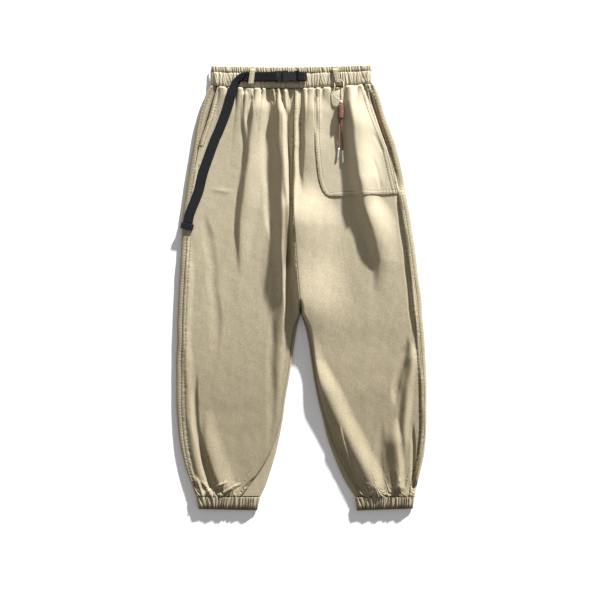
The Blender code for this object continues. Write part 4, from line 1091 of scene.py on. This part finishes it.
def round_bar(bar_x, radius, way):
    """Places on the webbing's turn round a bar of the buckle, from below it to above."""
    angles = [-math.pi / 2 + way * math.pi * k / BAR_STEPS for k in range(BAR_STEPS + 1)]
    return [(bar_x + radius * math.cos(angle), BUCKLE_Z + radius * math.sin(angle)) for angle in angles]


leg_faces = faces_of(front_right, front_left, pocket_piece, pocket_facing, back_right, back_left)
half = STRAP_WIDTH / 2
course = [(-118.0, UNDER_Z), (-100.0, UNDER_Z), (-80.0, UNDER_Z), (-66.0, (UNDER_Z + BUCKLE_Z - WRAP) / 2)]
course += round_bar(BAR_X, WRAP, 1)
course += [(-66.0, (OVER_Z + BUCKLE_Z + WRAP) / 2 + 0.6), (-80.0, OVER_Z + 0.9), (-95.0, OVER_Z),
           (-108.0, OVER_Z)]
pairs = across_belt(course, half)
slope = (CREASE_HIGH - CREASE_LOW).normalized()
outward = Vector((-slope.y, slope.x, 0))
for k in range(CREASE_STEPS + 1):
    angle = -math.pi / 2 + math.pi * k / CREASE_STEPS
    lift = Vector((0, 0, OVER_Z + CREASE_WRAP * (1 + math.sin(angle))))
    shift = outward * CREASE_WRAP * math.cos(angle) + lift
    pairs.append((CREASE_HIGH + shift, CREASE_LOW + shift))
fold_z = OVER_Z + 2 * CREASE_WRAP
route = smooth_path([(x, y, 0) for x, y in TAIL_LINE], 6)
tail = []
for k, spot in enumerate(route):
    along = (route[min(k + 1, len(route) - 1)] - route[max(k - 1, 0)]).normalized()
    side_way = Vector((-along.y, along.x, 0))
    under = [spot + side_way * half * j / 3 for j in range(-3, 4)]
    rest = max(top_of(leg_faces, place.x, place.y) for place in under)
    tail.append([spot, side_way, rest + STRAP_WALL / 2 + 0.3])
outer_edge = smooth_path([(x, y, 0) for x, y in TURN_OUTER], 5)[1:-1]
inner_edge = smooth_path([(x, y, 0) for x, y in TURN_INNER], 5)[1:-1]
rests = [OVER_Z] * len(outer_edge) + [z for spot, side_way, z in tail]
levels = list(rests)
for turn in range(SAG_TURNS):
    for k in range(len(levels)):
        before = fold_z if k == 0 else levels[k - 1]
        after = levels[min(k + 1, len(levels) - 1)]
        levels[k] = max(rests[k], (before + after) / 2 - STRAP_SAG)
for outer, inner, z in zip(outer_edge, inner_edge, levels):
    pairs.append((outer + Vector((0, 0, z)), inner + Vector((0, 0, z))))
for (spot, side_way, rest), z in zip(tail, levels[len(outer_edge):]):
    pairs.append((spot - side_way * half + Vector((0, 0, z)), spot + side_way * half + Vector((0, 0, z))))
belt_strap = strip("webbing_belt_strap", pairs, STRAP_COLUMNS, STRAP_WALL, black_webbing, "webbing",
                   "belt_strap")
cut(belt_strap, "folded", 0.020, 0.477, 0.0095, "cloth_waistband_front", "cloth_front_right")


# Sewn end of the belt
# The tail is turned over a wider piece of webbing and sewn down, which leaves a thick stiff end.
# It lies on the right leg's outer edge, ribbed like the belt, with its corners pressed round.
CAP_START = (-236.6, 147.5)
CAP_END = (-241.6, 124.5)
CAP_WIDTH = 27.0
CAP_THICK = 4.6
CAP_LOWEST = 12.93
CAP_STEPS = 16
CAP_COLUMNS = 15


def soften(piece, width, sharpest):
    """Round a piece's edges where they turn by more than an angle in degrees."""
    rounding = piece.modifiers.new("rounding", "BEVEL")
    rounding.width = width * mm
    rounding.segments = 3
    rounding.limit_method = "ANGLE"
    rounding.angle_limit = math.radians(sharpest)


along = Vector((CAP_END[0] - CAP_START[0], CAP_END[1] - CAP_START[1], 0)).normalized()
side_way = Vector((-along.y, along.x, 0))
cap_z = max(CAP_LOWEST, levels[-1])
cap_start = Vector((*TAIL_LINE[-1], cap_z)) + along * 0.4
cap_end = Vector((*CAP_END, cap_z))
pairs = []
for k in range(CAP_STEPS + 1):
    spot = cap_start.lerp(cap_end, k / CAP_STEPS)
    reach = side_way * CAP_WIDTH / 2 * (1 - 0.10 * abs(2 * k / CAP_STEPS - 1) ** 6)
    pairs.append((spot - reach, spot + reach))
strap_end = strip("webbing_strap_end", pairs, CAP_COLUMNS, CAP_THICK, black_webbing, "webbing", "strap_end")
soften(strap_end, 1.2, 50)


# Tab of the buckle
# A short folded piece of the same webbing round the female half's bar, sewn to the waistband with
# two rows of black thread.
ANCHOR_BAR_X = -6.4
ANCHOR_WRAP = 2.7
ANCHOR_HALF = 9.6
ANCHOR_END = 11.0
course = [(ANCHOR_END, BUCKLE_Z - 2.0), (3.0, BUCKLE_Z - 2.2)]
course += round_bar(ANCHOR_BAR_X, ANCHOR_WRAP, -1)
course += [(3.0, BUCKLE_Z + 1.0), (ANCHOR_END, BUCKLE_Z - 0.1)]
pairs = across_belt(course, -ANCHOR_HALF)
anchor = strip("webbing_belt_anchor", pairs, STRAP_COLUMNS, STRAP_WALL, black_webbing, "webbing",
               "belt_anchor")
cut(anchor, "folded", 0.0205, 0.0425, 0.00084, "cloth_waistband_front")

black_thread = surface("black thread", Base_Color=(0.05, 0.05, 0.052, 1), Roughness=0.5)[0]
BLACK_THREAD = 0.32
BLACK_STEP = 2.4
ROW_HALF = 8.6
END_ROW_HALF = 11.5


def black_row(name, a, b, z):
    """A row of black stitches from a to b at one height."""
    a, b = Vector((a[0], a[1], z)), Vector((b[0], b[1], z))
    count = int((b - a).length / BLACK_STEP)
    spots = [a.lerp(b, k / count) for k in range(count + 1)]
    stitches = [(spots[k], spots[k].lerp(spots[k + 1], 0.75)) for k in range(count)]
    stitch_mesh(name, stitches, BLACK_THREAD, black_thread)


for k, x in enumerate((9.4, 6.6)):
    black_row("stitches_anchor_%d" % k, (x, BELT_Y - ROW_HALF), (x, BELT_Y + ROW_HALF),
              BUCKLE_Z + 0.75 + 0.13 * (9.4 - x))
for k, back in enumerate((2.2, 18.0)):
    spot = cap_start + along * back
    black_row("stitches_end_%d" % k, spot - side_way * END_ROW_HALF, spot + side_way * END_ROW_HALF,
              cap_z + 2.35)


# Side-release buckle
# Two moulded black plastic halves, fastened: the male half holds the strap round its bar and
# reaches into the female half with two sprung arms, which show in the notches at its sides.
plastic, tree, shader = surface("black plastic", Base_Color=(0.0075, 0.0075, 0.0085, 1), Roughness=0.42)
grain = add(tree, "TexNoise", Vector=add(tree, "TexCoord").outputs["Object"], Scale=700.0, Detail=3.0)
lay_bumps(tree, shader, (grain.outputs["Fac"], 0.12, 0.0002))
Y = BELT_Y
MALE_HALF = 1.5
MALE_LOWER = [(-55.0, Y - 11.6), (-39.4, Y - 11.6), (-39.4, Y - 9.2), (-26.0, Y - 9.2), (-25.0, Y - 10.9),
              (-17.6, Y - 10.9), (-16.0, Y - 8.2), (-20.0, Y - 6.6), (-37.0, Y - 6.2), (-37.0, Y - 2.2),
              (-24.0, Y - 1.6)]
FEMALE_HALF = 4.4
FEMALE_LOWER = [(-39.0, Y - 11.2), (-37.6, Y - 12.0), (-6.2, Y - 12.0), (-5.0, Y - 10.8)]


def plate(name, outline, low, high):
    """A plate of even thickness from its outline, turning anticlockwise."""
    count = len(outline)
    points = [(x * mm, y * mm, z * mm) for z in (low, high) for x, y in outline]
    faces = [tuple(reversed(range(count))), tuple(range(count, 2 * count))]
    faces += [(k, (k + 1) % count, count + (k + 1) % count, count + k) for k in range(count)]
    return mesh_piece(name, points, faces, plastic, smooth=False)


def opened(piece, x0, x1, y0, y1, z0, z1):
    """Take a box out of a moulded piece."""
    cutter = plate("cutter", [(x0, y0), (x1, y0), (x1, y1), (x0, y1)], z0, z1)
    step = piece.modifiers.new("opening", "BOOLEAN")
    step.operation = "DIFFERENCE"
    step.solver = "EXACT"
    step.object = cutter
    bpy.context.view_layer.objects.active = piece
    bpy.ops.object.modifier_apply(modifier=step.name)
    bpy.data.objects.remove(cutter)


def mirrored(outline):
    """The lower half of an outline and its mirror image about the belt's middle."""
    return outline + [(x, 2 * Y - y) for x, y in reversed(outline)]


male = plate("buckle_male_half", mirrored(MALE_LOWER), BUCKLE_Z - MALE_HALF, BUCKLE_Z + MALE_HALF)
opened(male, -51.9, -49.2, Y - 10.4, Y + 10.4, BUCKLE_Z - 5, BUCKLE_Z + 5)
soften(male, 0.4, 40)
belongs(male, "plastic", "buckle_male")
female = plate("buckle_female_half", mirrored(FEMALE_LOWER), BUCKLE_Z - FEMALE_HALF, BUCKLE_Z + FEMALE_HALF)
# The throat, the notches for the arms, the two recesses beside the bar, and the slot behind it
for x0, x1, y0, y1, z0, z1 in ((-41.0, -14.6, -9.7, 9.7, -2.0, 2.0), (-28.0, -15.0, -14.0, -9.0, -6, 6),
                               (-28.0, -15.0, 9.0, 14.0, -6, 6), (-12.4, -3.0, -10.5, 10.5, 1.3, 6),
                               (-12.4, -3.0, -10.5, 10.5, -6, -1.3), (-9.9, -7.8, -10.5, 10.5, -3, 3)):
    opened(female, x0, x1, Y + y0, Y + y1, BUCKLE_Z + z0, BUCKLE_Z + z1)
soften(female, 0.7, 40)
belongs(female, "plastic", "buckle_female")


# Charm
# A cream cord goes up behind the left belt loop and back, through a small bead, into a
# knot wound from brown cord. Two brown cords hang from the knot and end in crimped metal tips.
CREAM_CORD = 2.2
BROWN_CORD = 3.0
TIP = 3.6
KNOT = 12.0
KNOT_TURNS = 9
KNOT_CORD = 3.2
KNOT_Z = 19.64
FACE_Z = 16.64
LOOP_Z = 12.89


def cord_material(name, light, dark, pitch):
    """Braided cord: diagonal strands in two tones, laid out by the object's own coordinates."""
    braid, tree, shader = surface(name, Roughness=0.8, Sheen_Weight=0.2)
    place = add(tree, "TexCoord").outputs["Object"]
    strands = add(tree, "TexWave", Vector=place, Scale=pitch, Distortion=1.0, bands_direction="DIAGONAL")
    tint = add(tree, "Mix", data_type="RGBA", Factor=strands.outputs["Fac"], A=dark, B=light)
    tree.links.new(tint.outputs["Result"], shader.inputs["Base Color"])
    lay_bumps(tree, shader, (strands.outputs["Fac"], 0.7, 0.0005))
    return braid


cream = cord_material("cream cord", (0.58, 0.51, 0.38, 1), (0.33, 0.27, 0.18, 1), 260.0)
brown = cord_material("brown cord", (0.27, 0.105, 0.038, 1), (0.060, 0.022, 0.009, 1), 230.0)


def cord(name, points, diameter, material, slot, node):
    """A cord along a smooth line of points in millimetres."""
    curve = bpy.data.curves.new(name, "CURVE")
    curve.dimensions = "3D"
    curve.bevel_depth = diameter / 2 * mm
    curve.bevel_resolution = 4
    curve.use_fill_caps = True
    spline = curve.splines.new("POLY")
    spline.points.add(len(points) - 1)
    for k, point in enumerate(points):
        spline.points[k].co = (point[0] * mm, point[1] * mm, point[2] * mm, 1.0)
    curve.materials.append(material)
    return belongs(show(name, curve), slot, node)


def turned(name, start, stop, radii, material, slot, node, sides=24):
    """A round piece between two points; its radii are at even steps."""
    start, stop = Vector(start), Vector(stop)
    along = (stop - start).normalized()
    side_way = along.cross(Vector((0, 0, 1))).normalized()
    up = side_way.cross(along)
    points = []
    faces = [tuple(range(sides)), tuple(reversed(range((len(radii) - 1) * sides, len(radii) * sides)))]
    for k, radius in enumerate(radii):
        centre = start.lerp(stop, k / (len(radii) - 1))
        for j in range(sides):
            angle = 2 * math.pi * j / sides
            points.append((centre + (side_way * math.cos(angle) + up * math.sin(angle)) * radius) * mm)
    for k in range(len(radii) - 1):
        for j in range(sides):
            a, b = k * sides + j, k * sides + (j + 1) % sides
            faces.append((a, a + sides, b + sides, b))
    return belongs(mesh_piece(name, points, faces, material), slot, node)


loop_route = smooth_path(((80.6, 395.6, KNOT_Z), (72.6, 399.0, KNOT_Z - 1), (66.6, 408.4, FACE_Z),
                          (69.6, 424.0, FACE_Z + 1.0), (69.6, 433.6, LOOP_Z + 0.3), (78.2, 438.4, LOOP_Z),
                          (87.0, 433.6, LOOP_Z + 0.3), (88.4, 422.0, FACE_Z + 1.0), (87.0, 408.0, FACE_Z),
                          (84.2, 395.6, KNOT_Z)), 10)
charm_loop = cord("cord_charm_loop", loop_route, CREAM_CORD, cream, "cream_cord", "charm_loop")
turned("charm_ring_bead", (82.4, 394.4, KNOT_Z), (82.1, 387.0, KNOT_Z), (2.4, 3.6, 3.9, 3.9, 3.6, 2.6), cream,
       "cream_cord", "charm_ring")
knot_core = [KNOT / 2 * share for share in (0.5, 0.72, 0.84, 0.86, 0.86, 0.86, 0.84, 0.72, 0.5)]
turned("charm_knot_core", (82.1, 386.5, KNOT_Z), (81.6, 354.5, KNOT_Z), knot_core, brown, "brown_cord",
       "charm_knot")
WINDING_STEPS = KNOT_TURNS * 24
winding = []
for k in range(WINDING_STEPS + 1):
    t = k / WINDING_STEPS
    angle = 2 * math.pi * KNOT_TURNS * t
    radius = KNOT / 2 * 0.80 * (1 - 0.28 * abs(2 * t - 1) ** 4)
    winding.append(Vector((81.9 - 0.4 * t + radius * math.cos(angle),
                           385.2 - 29.4 * t + 1.2 * math.cos(angle), KNOT_Z + radius * math.sin(angle))))
cord("cord_charm_winding", winding, KNOT_CORD, brown, "brown_cord", "charm_knot")

# Each hanging cord's places, then the ends of its metal tip
STRANDS = {
    "a": (((83.6, 353.6, 18.1), (83.8, 343.0, 17.2), (84.4, 331.0, 16.3), (85.4, 313.0, 15.4),
           (86.0, 290.6, 14.5)), ((86.2, 290.0, 14.51), (87.2, 264.0, 14.51))),
    "b": (((79.4, 353.6, 18.1), (78.6, 343.0, 17.2), (78.4, 331.0, 16.3), (78.0, 313.0, 15.4),
           (78.4, 295.4, 14.5)), ((78.4, 294.8, 14.5), (76.0, 272.8, 14.5))),
}
tip_radii = [TIP / 2 * share for share in (0.80, 0.98, 1.0, 0.92, 1.0, 1.0, 1.0, 1.0, 0.96, 0.78)]
silver, tree, shader = surface("bright metal", Base_Color=(0.80, 0.80, 0.79, 1), Metallic=0.7, Roughness=0.38)
scratch = add(tree, "TexNoise", Vector=add(tree, "TexCoord").outputs["Object"], Scale=1500.0, Detail=4.0)
lay_bumps(tree, shader, (scratch.outputs["Fac"], 0.15, 0.0001))
for letter, (places, (tip_start, tip_stop)) in STRANDS.items():
    route = smooth_path(places, 8)
    tip_piece = turned("charm_tip_" + letter + "_metal", tip_start, tip_stop, tip_radii, silver, "metal",
                       "charm_tip_" + letter)
    strand = cord("cord_charm_" + letter, route, BROWN_CORD, brown, "brown_cord", "charm_cord_" + letter)
